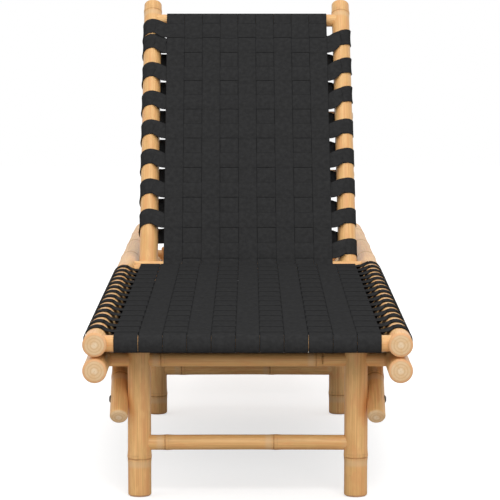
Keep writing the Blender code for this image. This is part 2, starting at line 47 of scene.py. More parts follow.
Triple = tuple[float, float, float]
Knots = tuple[float, ...]
KnotTable = tuple[tuple[str, Knots], ...]
Bands = list[tuple[float, float]]
Route = tuple[list[Vector], list[Vector]]

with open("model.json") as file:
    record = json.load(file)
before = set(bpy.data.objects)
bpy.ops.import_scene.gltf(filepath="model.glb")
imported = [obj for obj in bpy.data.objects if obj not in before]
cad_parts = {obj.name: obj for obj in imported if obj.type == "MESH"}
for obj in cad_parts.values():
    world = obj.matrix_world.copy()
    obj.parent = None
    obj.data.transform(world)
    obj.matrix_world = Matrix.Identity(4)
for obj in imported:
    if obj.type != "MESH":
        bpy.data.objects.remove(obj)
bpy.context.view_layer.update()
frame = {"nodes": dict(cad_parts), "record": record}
BODY_OF = {node: body for body, nodes in frame["record"]["behaviour"]["bodies"].items() for node in nodes}


def corners(node: str) -> tuple[Vector, Vector]:
    """The lowest and highest corners of a node at rest."""
    low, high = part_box(node)
    return Vector(low), Vector(high)


def middle_of(node: str) -> Vector:
    """The middle of a node's box."""
    low, high = corners(node)
    return (low + high) / 2


def link(piece: bpy.types.Object) -> bpy.types.Object:
    """Put an object in the scene."""
    bpy.context.scene.collection.objects.link(piece)
    return piece


class Slot(Enum):
    """Names of the record's material slots, one given with each new piece."""

    BAMBOO = "bamboo"
    WEBBING = "webbing"


class Section(Enum):
    """The two sections that are swept along a line, with the names of their trees."""

    ROUND = "culm_sweep"
    FLAT = "tape_sweep"


class Socket:
    """A node's output that can be used in a Python expression."""

    def __init__(self, graph: "Graph", socket: bpy.types.NodeSocket) -> None:
        """Keep the graph that new nodes go into and the socket itself."""
        self.graph = graph
        self.socket = socket

    def _math(self, operation: str, *values: "Socket | float") -> "Socket":
        """A Math node on this value and others."""
        return self.graph.add("ShaderNodeMath", {"operation": operation}, dict(enumerate(values)))

    def __add__(self, other: "Socket | float") -> "Socket":
        """Sum."""
        return self._math("ADD", self, other)

    def __radd__(self, other: float) -> "Socket":
        """Sum, reflected."""
        return self._math("ADD", other, self)

    def __sub__(self, other: "Socket | float") -> "Socket":
        """Difference."""
        return self._math("SUBTRACT", self, other)

    def __rsub__(self, other: float) -> "Socket":
        """Difference, reflected."""
        return self._math("SUBTRACT", other, self)

    def __mul__(self, other: "Socket | float") -> "Socket":
        """Product."""
        return self._math("MULTIPLY", self, other)

    def __rmul__(self, other: float) -> "Socket":
        """Product, reflected."""
        return self._math("MULTIPLY", other, self)

    def wave(self, pitch: float) -> "Socket":
        """A sine from -1 to 1 that repeats every pitch."""
        turn = self * (math.tau / pitch)
        return turn._math("SINE", turn)

    def size(self) -> "Socket":
        """The value without its sign."""
        return self._math("ABSOLUTE", self)

    def step(self, low: float, high: float) -> "Socket":
        """A smooth step.

        Args:
            low: where it is 0.
            high: where it is 1; it falls from low to high where high is the lesser.

        Returns:
            The share from 0 to 1.
        """
        rising = low < high
        ends = {1: low, 2: high, 3: 0.0, 4: 1.0} if rising else {1: high, 2: low, 3: 1.0, 4: 0.0}
        return self.graph.add("ShaderNodeMapRange", {"interpolation_type": "SMOOTHSTEP"}, {0: self, **ends})


class Graph:
    """A node tree that is written as Python expressions."""

    def __init__(self, tree: bpy.types.NodeTree) -> None:
        """Start on an empty tree."""
        self.tree = tree
        tree.nodes.clear()

    def add(self, kind: str, settings: dict | None = None, values: dict | None = None,
            output: int | str = 0) -> Socket:
        """Add one node.

        Args:
            kind: the node's type name.
            settings: properties that are set first.
            values: numbers, names or sockets by input index or name.
            output: which output the result stands for.

        Returns:
            The chosen output as a Socket, or the node itself where it has no outputs.
        """
        node = self.tree.nodes.new(kind)
        for name, value in (settings or {}).items():
            setattr(node, name, value)
        for key, value in (values or {}).items():
            target = node.inputs[key]
            if isinstance(value, Socket):
                self.tree.links.new(value.socket, target)
            else:
                target.default_value = value
        return Socket(self, node.outputs[output]) if len(node.outputs) else node

    def blend(self, share: Socket, low: Socket | Triple, high: Socket | Triple) -> Socket:
        """Mix two colours.

        Args:
            share: how much of the second colour shows, from 0 to 1.
            low: the first colour.
            high: the second colour.

        Returns:
            The mixed colour.
        """
        ends = [end if isinstance(end, Socket) else (*end, 1.0) for end in (low, high)]
        return self.add("ShaderNodeMix", {"data_type": "RGBA"}, {0: share, 6: ends[0], 7: ends[1]}, 2)

    def noise(self, vector: Socket, fineness: Triple, detail: float = 3.0, rough: float = 0.55) -> Socket:
        """Noise from 0 to 1.

        Args:
            vector: where the noise is read, in metres.
            fineness: how many grains a metre has along each axis.
            detail: how many finer layers it has.
            rough: how strong they are.

        Returns:
            The noise.
        """
        spot = self.add("ShaderNodeVectorMath", {"operation": "MULTIPLY"}, {0: vector, 1: fineness})
        return self.add("ShaderNodeTexNoise", {"noise_dimensions": "3D"},
                        {"Vector": spot, "Scale": 1.0, "Detail": detail, "Roughness": rough})

    def attribute(self, name: str, output: str = "Fac") -> Socket:
        """An attribute of the mesh."""
        return self.add("ShaderNodeAttribute", {"attribute_name": name}, output=output)


def new_surface(name: str) -> tuple[bpy.types.Material, Graph]:
    """Make an empty material.

    Args:
        name: its name.

    Returns:
        The material and its graph.
    """
    material = bpy.data.materials.new(name)
    material.use_nodes = True
    return material, Graph(material.node_tree)


def close_surface(graph: Graph, colour: Socket, rough: Socket, height: Socket, depth: float,
                  fixed: dict[str, float]) -> None:
    """Finish a material with a Principled shader.

    Args:
        graph: the material's graph.
        colour: its base colour.
        rough: its roughness.
        height: the relief for the bump, from 0 to 1.
        depth: the relief's depth in metres.
        fixed: plain numbers for other sockets.
    """
    relief = graph.add("ShaderNodeBump", None, {"Strength": 1.0, "Distance": depth, "Height": height})
    shader = graph.add("ShaderNodeBsdfPrincipled", None,
                       {"Base Color": colour, "Roughness": rough, "Normal": relief, **fixed})
    graph.add("ShaderNodeOutputMaterial", None, {"Surface": shader})


@dataclass(frozen=True)
class BambooFinish:
    """Lacquered bamboo skin with fibres, blotches, node rings and end grain, with painted shade on the ends'
    eased rims and in the small holes at their middles.

    Attributes:
        light, tan, rosy, green: the skin's colours; rosy also paints the shade on the eased rim of each end.
        brown, rind: the colours of node grooves, and of halos, specks and the fine rings of the end grain;
            rind also paints the shade of the small hole in the middle of each end.
        pith, core, grain_dark: the colours of the end grain; pith also shows in a band below each node.
        fibre_fine to drift_fine: each pattern's grains a metre, across the culm twice and along it.
        ring_size: the radius in metres that the round section has for the patterns.
        batch_shift: how far apart in the patterns two culms lie, at most.
        groove_off, scar_off: how far below a node its groove lies, and how far above it the leaf scar.
        band_off: how far below a node its pale band lies.
        unevenness: how much node lines and growth rings wander.
        ring_pitch, fine_pitch: the steps of the growth rings.
        fibre_depth: the depth of the relief.
    """

    light: Triple = (0.94, 0.585, 0.25)
    tan: Triple = (0.70, 0.37, 0.13)
    rosy_and_rim_shade: Triple = (0.80, 0.36, 0.145)
    green: Triple = (0.74, 0.47, 0.18)
    brown: Triple = (0.40, 0.17, 0.055)
    rind_and_hole_shade: Triple = (0.56, 0.32, 0.13)
    pith: Triple = (0.77, 0.54, 0.31)
    core: Triple = (0.84, 0.68, 0.48)
    grain_dark: Triple = (0.60, 0.37, 0.19)
    fibre_fine: Triple = (620.0, 620.0, 9.0)
    streak_fine: Triple = (170.0, 170.0, 3.5)
    patch_fine: Triple = (80.0, 80.0, 26.0)
    tint_fine: Triple = (46.0, 46.0, 14.0)
    speck_fine: Triple = (330.0, 330.0, 95.0)
    halo_fine: Triple = (240.0, 240.0, 60.0)
    break_fine: Triple = (90.0, 90.0, 30.0)
    stain_fine: Triple = (75.0, 75.0, 1.0)
    wobble_fine: Triple = (60.0, 60.0, 0.0)
    drift_fine: Triple = (120.0, 120.0, 0.0)
    ring_size: Triple = (0.02, 0.02, 0.0)
    batch_shift: float = 31.0
    groove_off: float = 0.0022
    scar_off: float = 0.0040
    band_off: float = 0.011
    unevenness: float = 0.0022
    ring_pitch: float = 0.0052
    fine_pitch: float = 0.0017
    fibre_depth: float = 0.00025

    def skin(self, graph: Graph, place: Socket, batch: Socket, fibres: Socket) -> Socket:
        """The skin between the nodes.

        Args:
            graph: the material's graph.
            place: where a point lies on its culm.
            batch: the culm's own number from 0 to 1.
            fibres: the pattern of the fibres.

        Returns:
            The skin's colour.
        """
        streaks = graph.noise(place, self.streak_fine, 2.0)
        patches = graph.noise(place, self.patch_fine)
        tints = graph.noise(place, self.tint_fine, 2.0)
        skin = graph.blend(fibres.step(0.32, 0.62), self.tan, self.light)
        skin = graph.blend(streaks.step(0.46, 0.70) * 0.60, skin, self.rosy_and_rim_shade)
        skin = graph.blend(tints.step(0.50, 0.66) * 0.45, skin, self.green)
        skin = graph.blend(patches.step(0.50, 0.66) * 0.45, skin, self.rosy_and_rim_shade)
        skin = graph.blend(patches.step(0.46, 0.30) * 0.55, skin, self.light)
        return graph.blend(batch * 0.35, skin, self.tan)

    def node_lines(self, graph: Graph, place: Socket, skin: Socket) -> tuple[Socket, Socket, Socket]:
        """The groove, scar, pale band and dark halo of each node.

        Args:
            graph: the material's graph.
            place: where a point lies on its culm.
            skin: the skin's colour.

        Returns:
            The colour with the nodes on it, the groove and the halo, both from 0 to 1.
        """
        knot = graph.attribute("knot")
        line = knot + (graph.noise(place, self.wobble_fine, 2.0) - 0.5) * self.unevenness
        halo = line.size().step(0.020, 0.002) * graph.noise(place, self.halo_fine).step(0.35, 0.7)
        broken = graph.noise(place, self.break_fine, 2.0).step(0.3, 0.62)
        groove = (line + self.groove_off).size().step(0.0017, 0.0004) * (broken * 0.55 + 0.45)
        scar = (line - self.scar_off).size().step(0.0012, 0.0003) * 0.22 * broken
        band = (knot + self.band_off).size().step(0.009, 0.002)
        skin = graph.blend(halo * 0.45, skin, self.rind_and_hole_shade)
        skin = graph.blend(band * 0.45, skin, self.pith)
        skin = graph.blend(groove * 0.85, skin, self.brown)
        return graph.blend(scar, skin, self.brown), groove, halo

    def end_grain(self, graph: Graph, place: Socket) -> tuple[Socket, Socket]:
        """The growth rings of a cut end, with painted shade on its eased rim and in the small hole at its
        middle.

        Args:
            graph: the material's graph.
            place: where a point lies on its culm.

        Returns:
            The colour, and the rings as a wave from -1 to 1.
        """
        reach = graph.attribute("reach")
        uneven = reach + (graph.noise(place, self.drift_fine, 2.0) - 0.5) * self.unevenness
        rings = uneven.wave(self.ring_pitch)
        grain = graph.blend(rings.step(-0.1, 0.9) * 0.50, self.pith, self.grain_dark)
        grain = graph.blend(uneven.wave(self.fine_pitch).step(0.0, 1.0) * 0.22, grain, self.rind_and_hole_shade)
        grain = graph.blend(reach.step(0.0075, 0.0010) * 0.75, grain, self.core)
        # Painted shade: the eased rim of each end is darkened and reddened where it turns from the light
        grain = graph.blend(reach.step(0.0165, 0.0195) * 0.55, grain, self.rosy_and_rim_shade)
        stains = graph.noise(place, self.stain_fine)
        grain = graph.blend(stains.step(0.45, 0.7) * 0.3, grain, self.tan)
        # Painted shade: the very middle of each end is darkened to stand for the small hole there
        return graph.blend(reach.step(0.0012, 0.0005) * 0.5, grain, self.rind_and_hole_shade), rings

    def build(self) -> bpy.types.Material:
        """Build the material; it reads the culm's own attributes.

        Returns:
            The material.
        """
        material, graph = new_surface("bamboo_skin")
        batch = graph.attribute("batch")
        height = graph.attribute("along") + batch * self.batch_shift
        place = graph.add("ShaderNodeVectorMath", {"operation": "MULTIPLY_ADD"},
                          {0: graph.attribute("ring", "Vector"), 1: self.ring_size,
                           2: graph.add("ShaderNodeCombineXYZ", None, {2: height})})
        fibres = graph.noise(place, self.fibre_fine, 4.0)
        skin = self.skin(graph, place, batch, fibres)
        skin, groove, halo = self.node_lines(graph, place, skin)
        specks = graph.noise(place, self.speck_fine, 2.0, 0.7)
        skin = graph.blend(specks.step(0.68, 0.74) * 0.55, skin, self.rind_and_hole_shade)
        grain, rings = self.end_grain(graph, place)
        cut = graph.attribute("cut")
        rough = 0.34 + fibres * 0.16 + cut * 0.25 + halo * 0.1
        relief = (1.0 - cut) * (fibres * 0.5 - groove * 0.8) + cut * rings * 0.35 + 0.5
        close_surface(graph, graph.blend(cut, skin, grain), rough, relief, self.fibre_depth,
                      {"Coat Weight": 0.08, "Coat Roughness": 0.22, "Specular IOR Level": 0.3})
        return material


@dataclass(frozen=True)
class WebbingFinish:
    """Flat charcoal tape: fine ribs, painted shade along its edges and a faint mottling.

    Attributes:
        dark, worn: the tape's colours; edge: the painted shade along its edges, for the shadow in the gaps
            between tapes.
        mottle_fine, lint_fine: each pattern's grains a metre, across and along the tape.
        batch_shift: how far apart in the patterns two tapes lie.
        rib: the step from rib to rib.
        relief: the depth of the relief.
    """

    dark: Triple = (0.0275, 0.0275, 0.0280)
    worn: Triple = (0.0375, 0.0375, 0.0380)
    # Painted shade: the tape's edges are darkened towards this, for the shadow lines in the gaps between
    # tapes
    edge: Triple = (0.005, 0.005, 0.0055)
    mottle_fine: Triple = (110.0, 110.0, 1.0)
    lint_fine: Triple = (900.0, 420.0, 1.0)
    batch_shift: float = 7.0
    rib: float = 0.0017
    relief: float = 0.00012

    def build(self) -> bpy.types.Material:
        """Build the material; it reads how far along and across the tape a point is.

        Returns:
            The material.
        """
        material, graph = new_surface("webbing_tape")
        along, across = graph.attribute("along"), graph.attribute("across")
        place = graph.add("ShaderNodeCombineXYZ", None,
                          {0: across, 1: along, 2: graph.attribute("batch") * self.batch_shift})
        mottle = graph.noise(place, self.mottle_fine, 4.0, 0.65)
        lint = graph.noise(place, self.lint_fine, 3.0, 0.6)
        ribs = along.wave(self.rib) * 0.5 + across.wave(self.rib * 0.8) * 0.3
        colour = graph.blend(mottle.step(0.3, 0.72), self.dark, self.worn)
        colour = graph.blend(lint.step(0.5, 0.8) * 0.35, colour, self.worn)
        # Painted shade along the tape's edges, standing for the shadow lines between neighbouring tapes
        rim = (across.size() - graph.attribute("half")).step(-0.0016, -0.0004)
        colour = graph.blend(rim * 0.35, colour, self.edge)
        height = ribs * 0.5 + mottle * 0.6 + lint * 0.4
        close_surface(graph, colour, 0.78 + mottle * 0.14, height, self.relief, {"Specular IOR Level": 0.0})
        return material


@dataclass(frozen=True)
class SteelFinish:
    """Dark satin steel with small scratches.

    Attributes:
        base, bright: the colours of the steel and of its worn spots.
        wear_fine, scratch_fine: each pattern's grains a metre.
        relief: the depth of the relief.
    """

    base: Triple = (0.09, 0.082, 0.074)
    bright: Triple = (0.26, 0.25, 0.24)
    wear_fine: Triple = (420.0, 420.0, 420.0)
    scratch_fine: Triple = (1800.0, 1800.0, 1800.0)
    relief: float = 0.00008

    def build(self) -> bpy.types.Material:
        """Build the material, on object coordinates.

        Returns:
            The material.
        """
        material, graph = new_surface("dark_steel")
        place = graph.add("ShaderNodeTexCoord", output="Object")
        wear = graph.noise(place, self.wear_fine, 4.0, 0.6)
        scratches = graph.noise(place, self.scratch_fine, 2.0)
        colour = graph.blend(wear.step(0.5, 0.75), self.base, self.bright)
        close_surface(graph, colour, 0.3 + wear * 0.25, scratches, self.relief, {"Metallic": 0.9})
        return material


class SweepTree:
    """Geometry Nodes that sweep a section along a line of points with attributes.

    Attributes:
        corner_share: the radius of a tape's corners over its thickness.
    """

    corner_share = 0.42

    def __init__(self, section: Section) -> None:
        """Build the tree.

        Args:
            section: round for culms, or flat with rounded corners for tape.
        """
        flat = section is Section.FLAT
        self.group = bpy.data.node_groups.new(section.value, "GeometryNodeTree")
        face = self.group.interface
        face.new_socket("Line", in_out="INPUT", socket_type="NodeSocketGeometry")
        sizes = (("Width", "NodeSocketFloat"), ("Thickness", "NodeSocketFloat")) if flat else ()
        self.names = {}
        for label, kind in (*sizes, ("Sides", "NodeSocketInt"), ("Finish", "NodeSocketMaterial")):
            self.names[label] = face.new_socket(label, in_out="INPUT", socket_type=kind).identifier
        face.new_socket("Mesh", in_out="OUTPUT", socket_type="NodeSocketGeometry")
        self.graph = Graph(self.group)
        inputs = self.group.nodes.new("NodeGroupInput").outputs
        self.given = {socket.name: Socket(self.graph, socket) for socket in inputs if socket.name}
        curve = self.graph.add("GeometryNodeMeshToCurve", None, {0: self.given["Line"]})
        parts = self.tape_parts(curve) if flat else self.culm_parts(curve)
        mesh = self.graph.add("GeometryNodeCurveToMesh", None, {**parts, "Fill Caps": True})
        mesh = self.graph.add("GeometryNodeSetShadeSmooth", None, {"Geometry": mesh, "Shade Smooth": True})
        mesh = self.graph.add("GeometryNodeRealizeInstances", None, {"Geometry": mesh})
        mesh = self.graph.add("GeometryNodeSetMaterial", None,
                              {"Geometry": mesh, "Material": self.given["Finish"]})
        self.graph.add("NodeGroupOutput", None, {0: mesh})

    def named(self, name: str, kind: str) -> Socket:
        """An attribute of the line's points."""
        return self.graph.add("GeometryNodeInputNamedAttribute", {"data_type": kind}, {"Name": name})

    def stored(self, section: Socket, name: str, kind: str, value: Socket) -> Socket:
        """The section with a value of its points kept as an attribute."""
        return self.graph.add("GeometryNodeStoreNamedAttribute", {"data_type": kind, "domain": "POINT"},
                              {"Geometry": section, "Name": name, "Value": value})

    def culm_parts(self, curve: Socket) -> dict[str, Socket]:
        """A round section that takes each station's girth.

        Args:
            curve: the line as a curve.

        Returns:
            The sweep's inputs.
        """
        section = self.graph.add("GeometryNodeCurvePrimitiveCircle", None,
                                 {"Resolution": self.given["Sides"], "Radius": 1.0})
        section = self.stored(section, "ring", "FLOAT_VECTOR", self.graph.add("GeometryNodeInputPosition"))
        return {"Curve": curve, "Profile Curve": section, "Scale": self.named("girth", "FLOAT")}

    def tape_parts(self, curve: Socket) -> dict[str, Socket]:
        """A flat section that faces where the line's points say.

        Args:
            curve: the line as a curve.

        Returns:
            The sweep's inputs.
        """
        curve = self.graph.add("GeometryNodeSetCurveNormal", {"mode": "FREE"},
                               {"Curve": curve, "Normal": self.named("facing", "FLOAT_VECTOR")})
        section = self.graph.add("GeometryNodeCurvePrimitiveQuadrilateral", None,
                                 {"Width": self.given["Thickness"], "Height": self.given["Width"]})
        corner = self.given["Thickness"] * self.corner_share
        section = self.graph.add("GeometryNodeFilletCurve", {"mode": "POLY"},
                                 {"Curve": section, "Count": self.given["Sides"], "Radius": corner,
                                  "Limit Radius": True})
        spot = self.graph.add("GeometryNodeInputPosition")
        side = self.graph.add("ShaderNodeSeparateXYZ", None, {0: spot}, 1)
        return {"Curve": curve, "Profile Curve": self.stored(section, "across", "FLOAT", side)}

    def sweep(self, name: str, points: list[Vector], layers: dict[str, list],
              settings: dict[str, object]) -> bpy.types.Mesh:
        """Sweep the section along points.

        Args:
            name: the new mesh's name.
            points: the line's points.
            layers: attribute name to one float or vector a point.
            settings: the tree's named inputs.

        Returns:
            A plain mesh with outward faces.
        """
        line = bpy.data.meshes.new(name + "_line")
        line.from_pydata([tuple(p) for p in points], [(i, i + 1) for i in range(len(points) - 1)], [])
        for label, values in layers.items():
            vector = isinstance(values[0], Vector)
            layer = line.attributes.new(label, "FLOAT_VECTOR" if vector else "FLOAT", "POINT")
            flat_values = [c for v in values for c in v] if vector else values
            layer.data.foreach_set("vector" if vector else "value", flat_values)
        carrier = link(bpy.data.objects.new(name + "_carrier", line))
        modifier = carrier.modifiers.new("sweep", "NODES")
        modifier.node_group = self.group
        for label, value in settings.items():
            modifier[self.names[label]] = value
        bpy.context.view_layer.update()
        graph = bpy.context.evaluated_depsgraph_get()
        mesh = bpy.data.meshes.new_from_object(carrier.evaluated_get(graph))
        mesh.name = name
        bpy.data.objects.remove(carrier, do_unlink=True)
        bpy.data.meshes.remove(line)
        return mesh


@dataclass
class Sizes:
    """The lounger's driving sizes in metres; across is x, along is y and up is z.

    Attributes:
        rail_length, rail_radius, rail_spacing: the seat rails, with their axes' distance.
        seat_rail_height: the height of their axes and of the hinge.
        seat_bar_radius, seat_front_inset: the bars of the seat, and how far the front one lies in.
        seat_margin: from a seat bar to the next row of the crosswise tape.
        seat_turns, seat_pitch: the crosswise rows of the seat and their step.
        seat_columns, seat_column_pitch: the lengthwise columns of the seat and their step.
        tape_thickness, tape_clearance: the tape, and its room round a bar.
        leg_inset: from a rail's end to its brace's leg bolt.
        recline: the backrest's angle over the ground.
        pivot_y: the place of the hinge.
        pole_radius, pole_spacing: the poles, with their axes' distance.
        pole_tail, pole_overhang: how far a pole reaches past the hinge and past the top rail.
        pole_setback, top_rail_setback: how far poles and top rail lie behind the hinge's plane.
        back_bar_radius: the bars of the backrest.
        back_turns, back_pitch: the crosswise rows of the backrest and their step.
        back_margin: from the pivot bar's skin to the lowest row; a quarter of it lies over the highest one.
        back_columns, back_column_pitch: the lengthwise columns of the backrest and their step.
        node_share_top: the place of the pole's node as a share of its length.
        lean: how far the backrest leans to the side for each metre up.
    """

    rail_length: float = 2.22
    rail_radius: float = 0.0205
    rail_spacing: float = 0.509
    seat_rail_height: float = 0.280
    seat_bar_radius: float = 0.0145
    seat_front_inset: float = 0.025
    seat_margin: float = 0.0475
    seat_turns: int = 15
    seat_pitch: float = 0.080
    seat_columns: int = 11
    seat_column_pitch: float = 0.0405
    tape_thickness: float = 0.0010
    tape_clearance: float = 0.0003
    leg_inset: float = 0.153
    recline: float = math.radians(50.5)
    pivot_y: float = 0.2027
    pole_radius: float = 0.0195
    pole_spacing: float = 0.421
    pole_tail: float = 0.022
    pole_setback: float = 0.010
    pole_overhang: float = 0.050
    back_bar_radius: float = 0.0145
    top_rail_setback: float = 0.007
    back_turns: int = 9
    back_pitch: float = 0.0792
    back_margin: float = 0.0192
    back_columns: int = 9
    back_column_pitch: float = 0.0396
    node_share_top: float = 0.965
    lean: float = -0.005

    @property
    def seat_front_y(self) -> float:
        """The front bar's place along the lounger."""
        return -self.rail_length / 2 + self.seat_front_inset

    @property
    def seat_rear_y(self) -> float:
        """The rear bar's place along the lounger."""
        return self.seat_front_y + (self.seat_turns - 1) * self.seat_pitch + 2 * self.seat_margin

    @property
    def first_band(self) -> float:
        """Where the backrest's lowest row lies, up from the hinge."""
        return self.back_bar_radius + self.back_margin

    @property
    def top_rail_u(self) -> float:
        """Where the top rail lies, up from the hinge."""
        return self.first_band + (self.back_turns - 1) * self.back_pitch + self.back_margin / 4

    @property
    def up_axis(self) -> Vector:
        """The poles' direction."""
        return Vector((0.0, math.cos(self.recline), math.sin(self.recline)))

    @property
    def front_axis(self) -> Vector:
        """Out of the panel's front."""
        return Vector((0.0, -math.sin(self.recline), math.cos(self.recline)))

    def back_point(self, x: float, u: float, w: float) -> Vector:
        """A place given across, up the poles and out of the panel."""
        hinge = Vector((x + self.lean * u, self.pivot_y, self.seat_rail_height))
        return hinge + self.up_axis * u + self.front_axis * w


class Station(NamedTuple):
    """One ring of a culm.

    Attributes:
        along: its place along the culm.
        girth: its radius.
        knot: how far past the nearest node it lies.
        cut: 1 on the end grain, 0 on the skin.
        reach: how far from the core it lies.
    """

    along: float
    girth: float
    knot: float
    cut: float
    reach: float


def hill(place: float, top: float, width: float) -> float:
    """A soft hill of height 1 round its top."""
    return math.exp(-((place - top) / width) ** 2)


@dataclass
class Culm:
    """One bamboo culm between two points.

    Attributes:
        start, end: the middles of its ends.
        radius: its radius between nodes.
        knots: its nodes' places as shares of its length.
        bow: how far its middle stands off the straight line.
        sides: the corners of its section.
        edge: the radius of its eased ends.
        dome: how far the middle of an end stands out from its rim.
        swell, swell_width, swell_off: a node's swelling as a share of the radius, its width and its place.
        flare, flare_width: the weaker, wider swelling round it.
        groove, groove_width, groove_off: the groove below a node, and how far below it lies.
        waver, beats: how much the radius wavers along the culm, and the least and greatest length of a wave.
        knot_play: how far a node may stand off its place.
        far: the distance to a node past which the finish sees none.
        plain_steps: the steps between the rings away from the nodes.
        split: half the gap of the two rings half way between two nodes.
    """

    start: Vector
    end: Vector
    radius: float
    knots: Knots = ()
    bow: float = 0.0
    sides: int = 44
    edge: float = 0.0048
    dome: float = 0.0007
    swell: float = 0.045
    swell_width: float = 0.0068
    swell_off: float = 0.001
    flare: float = 0.006
    flare_width: float = 0.018
    groove: float = 0.018
    groove_width: float = 0.0011
    groove_off: float = 0.0022
    waver: float = 0.004
    beats: tuple[float, float] = (0.11, 0.19)
    knot_play: float = 0.004
    far: float = 0.05
    plain_steps: int = 30
    split: float = 0.00002

    def stops(self, length: float, knots: list[float]) -> list[float]:
        """Places for rings, closer together near a node.

        Args:
            length: the culm's length.
            knots: its nodes' places.

        Returns:
            The places from start to end.
        """
        stops = {self.edge + (length - 2 * self.edge) * step / self.plain_steps
                 for step in range(self.plain_steps + 1)}
        for knot in knots:
            stops.update(knot + off for off in (
                -0.045, -0.03, -0.018, -0.010, -0.007, -0.0052, -0.0042, -0.0032, -0.002, -0.0008, 0.0,
                0.0012, 0.0026, 0.004, 0.005, 0.006, 0.008, 0.012, 0.02, 0.03, 0.045))
        # Half way between two nodes the distance jumps from one to the other, so two rings lie close there
        for before, after in zip(knots, knots[1:]):
            stops.update(((before + after) / 2 - self.split, (before + after) / 2 + self.split))
        return sorted(s for s in stops if self.edge <= s <= length - self.edge)

    def cap(self, tip: float, inward: float, rim: float) -> list[Station]:
        """The rings of one end, from its middle to its eased rim.

        Args:
            tip: the end's place along the culm.
            inward: 1 at the start or -1 at the end.
            rim: the radius where the eased rim ends.

        Returns:
            The stations.
        """
        rings = []
        shares = (0.04, 0.2, 0.4, 0.6, 0.78, 0.9)
        for share in shares:
            reach = (rim - self.edge) * share / shares[-1]
            rings.append(Station(tip + inward * self.dome * share ** 2, reach, self.far, 1.0, reach))
        # The rim's quarter turn has three and a half steps, and its last half ends on the skin's first ring
        for turn, cut in ((1, 1.0), (2, 1.0), (3, 0.4)):
            angle = math.pi / 2 * turn / 3.5
            inset = self.dome + (self.edge - self.dome) * (1 - math.cos(angle))
            girth = rim - self.edge * (1 - math.sin(angle))
            rings.append(Station(tip + inward * inset, girth, self.far, cut, rim))
        return rings

    def profile(self, seed: int) -> list[Station]:
        """The rings of the culm.

        Args:
            seed: sets this culm's small unevenness.

        Returns:
            The stations from start to end.
        """
        length = (self.end - self.start).length
        draw = random.Random(seed)
        knots = [share * length + draw.uniform(-self.knot_play, self.knot_play) for share in self.knots]
        phase, beat = draw.uniform(0, math.tau), draw.uniform(*self.beats)
        stations = []
        for along in self.stops(length, knots):
            off = min((along - knot for knot in knots), key=abs, default=1.0)
            girth = self.radius * (1 + self.waver * math.sin(phase + along * math.tau / beat))
            girth *= 1 + self.swell * hill(off, self.swell_off, self.swell_width)
            girth *= 1 - self.groove * hill(off, -self.groove_off, self.groove_width)
            girth *= 1 + self.flare * hill(off, 0.0, self.flare_width)
            stations.append(Station(along, girth, max(-self.far, min(self.far, off)), 0.0, girth))
        first = self.cap(0.0, 1.0, stations[0].girth)
        last = self.cap(length, -1.0, stations[-1].girth)
        return first + stations + list(reversed(last))

    def mesh(self, name: str, seed: int, tree: SweepTree, finish: bpy.types.Material) -> bpy.types.Mesh:
        """Sweep the culm along its bowed line.

        Args:
            name: the new mesh's name.
            seed: sets this culm's unevenness and patterns.
            tree: the sweep with a round section.
            finish: the culm's material.

        Returns:
            The mesh.
        """
        stations = self.profile(seed)
        length = (self.end - self.start).length
        along = (self.end - self.start).normalized()
        draw = random.Random(seed + CULM_SEED_STEP)
        side = along.orthogonal().normalized()
        side.rotate(Matrix.Rotation(draw.uniform(0, math.tau), 3, along))
        points = [self.start + along * s.along + side * self.bow * math.sin(math.pi * s.along / length)
                  for s in stations]
        layers = {label: [getattr(s, label) for s in stations] for label in Station._fields}
        layers["batch"] = [draw.random()] * len(stations)
        return tree.sweep(name, points, layers, {"Sides": self.sides, "Finish": finish})


@dataclass(frozen=True)
class Wrap:
    """How far a tape has moved along a pole at the front, the outer side and the back of its half turn."""

    front: float
    silhouette: float
    back: float

    def move(self, share: float) -> float:
        """The tape's shift along the pole, on a smooth line through the three places."""
        bend = 2 * (self.front + self.back) - 4 * self.silhouette
        return self.front + (self.back - self.front - bend) * share + bend * share * share


@dataclass
class Winding:
    """A flat tape wound round bars and woven, in flat coordinates (across, along, up).

    Attributes:
        radius: the distance of its middle from a bar's axis.
        hug: the angle by which a wrap begins inside a side pole.
        lift: how far it stands up or down at a crossing.
        arc_steps: the steps of a quarter turn on a side pole, or of a half turn on a bar.
    """

    radius: float
    hug: float = 0.0
    lift: float = 0.00054
    arc_steps: int = 12

    def arc(self, centre: Vector, first: Vector, second: Vector, begin: float, finish: float) -> Route:
        """Part of a turn round a bar that stays where it is along the bar.

        Args:
            centre: the bar's axis.
            first: the direction at angle 0.
            second: the direction at a quarter turn.
            begin: the angle that the arc starts at.
            finish: the angle that it ends at.

        Returns:
            Points and their outward directions.
        """
        points, outward = [], []
        for step in range(self.arc_steps + 1):
            angle = begin + (finish - begin) * step / self.arc_steps
            out = first * math.cos(angle) + second * math.sin(angle)
            points.append(centre + out * self.radius)
            outward.append(out)
        return points, outward

    def wrap(self, centre: Vector, side: float, shape: Wrap) -> Route:
        """A half turn round a side pole, from its front to its back.

        Args:
            centre: the pole's axis where the tape's own row is.
            side: -1 for the left pole or 1 for the right one.
            shape: how the tape moves along the pole meanwhile.

        Returns:
            Points and their outward directions.
        """
        points, outward = [], []
        before = self.arc_steps // 2
        for step in range(-before, 2 * self.arc_steps + 1):
            share = step / (2 * self.arc_steps)
            angle = math.pi * share if step > 0 else self.hug * step / before
            out = Vector((side * math.sin(angle), 0.0, math.cos(angle)))
            points.append(centre + out * self.radius + Vector((0.0, shape.move(max(share, 0.0)), 0.0)))
            outward.append(out)
        return points, outward

    def crossing(self, place: float, bands: Bands, half: float, soft: float) -> float:
        """How far the tape stands up or down at a place.

        Args:
            place: the place along the tape's run.
            bands: each crossing tape's middle, and 1 where this tape passes over it or -1 where under.
            half: half the crossing tape's width.
            soft: how long a rise takes.

        Returns:
            The height above the panel's middle.
        """
        height = 0.0
        for middle, way in bands:
            share = max(0.0, min(1.0, (half + soft - abs(place - middle)) / soft))
            height += way * self.lift * share * share * (3 - 2 * share)
        return height


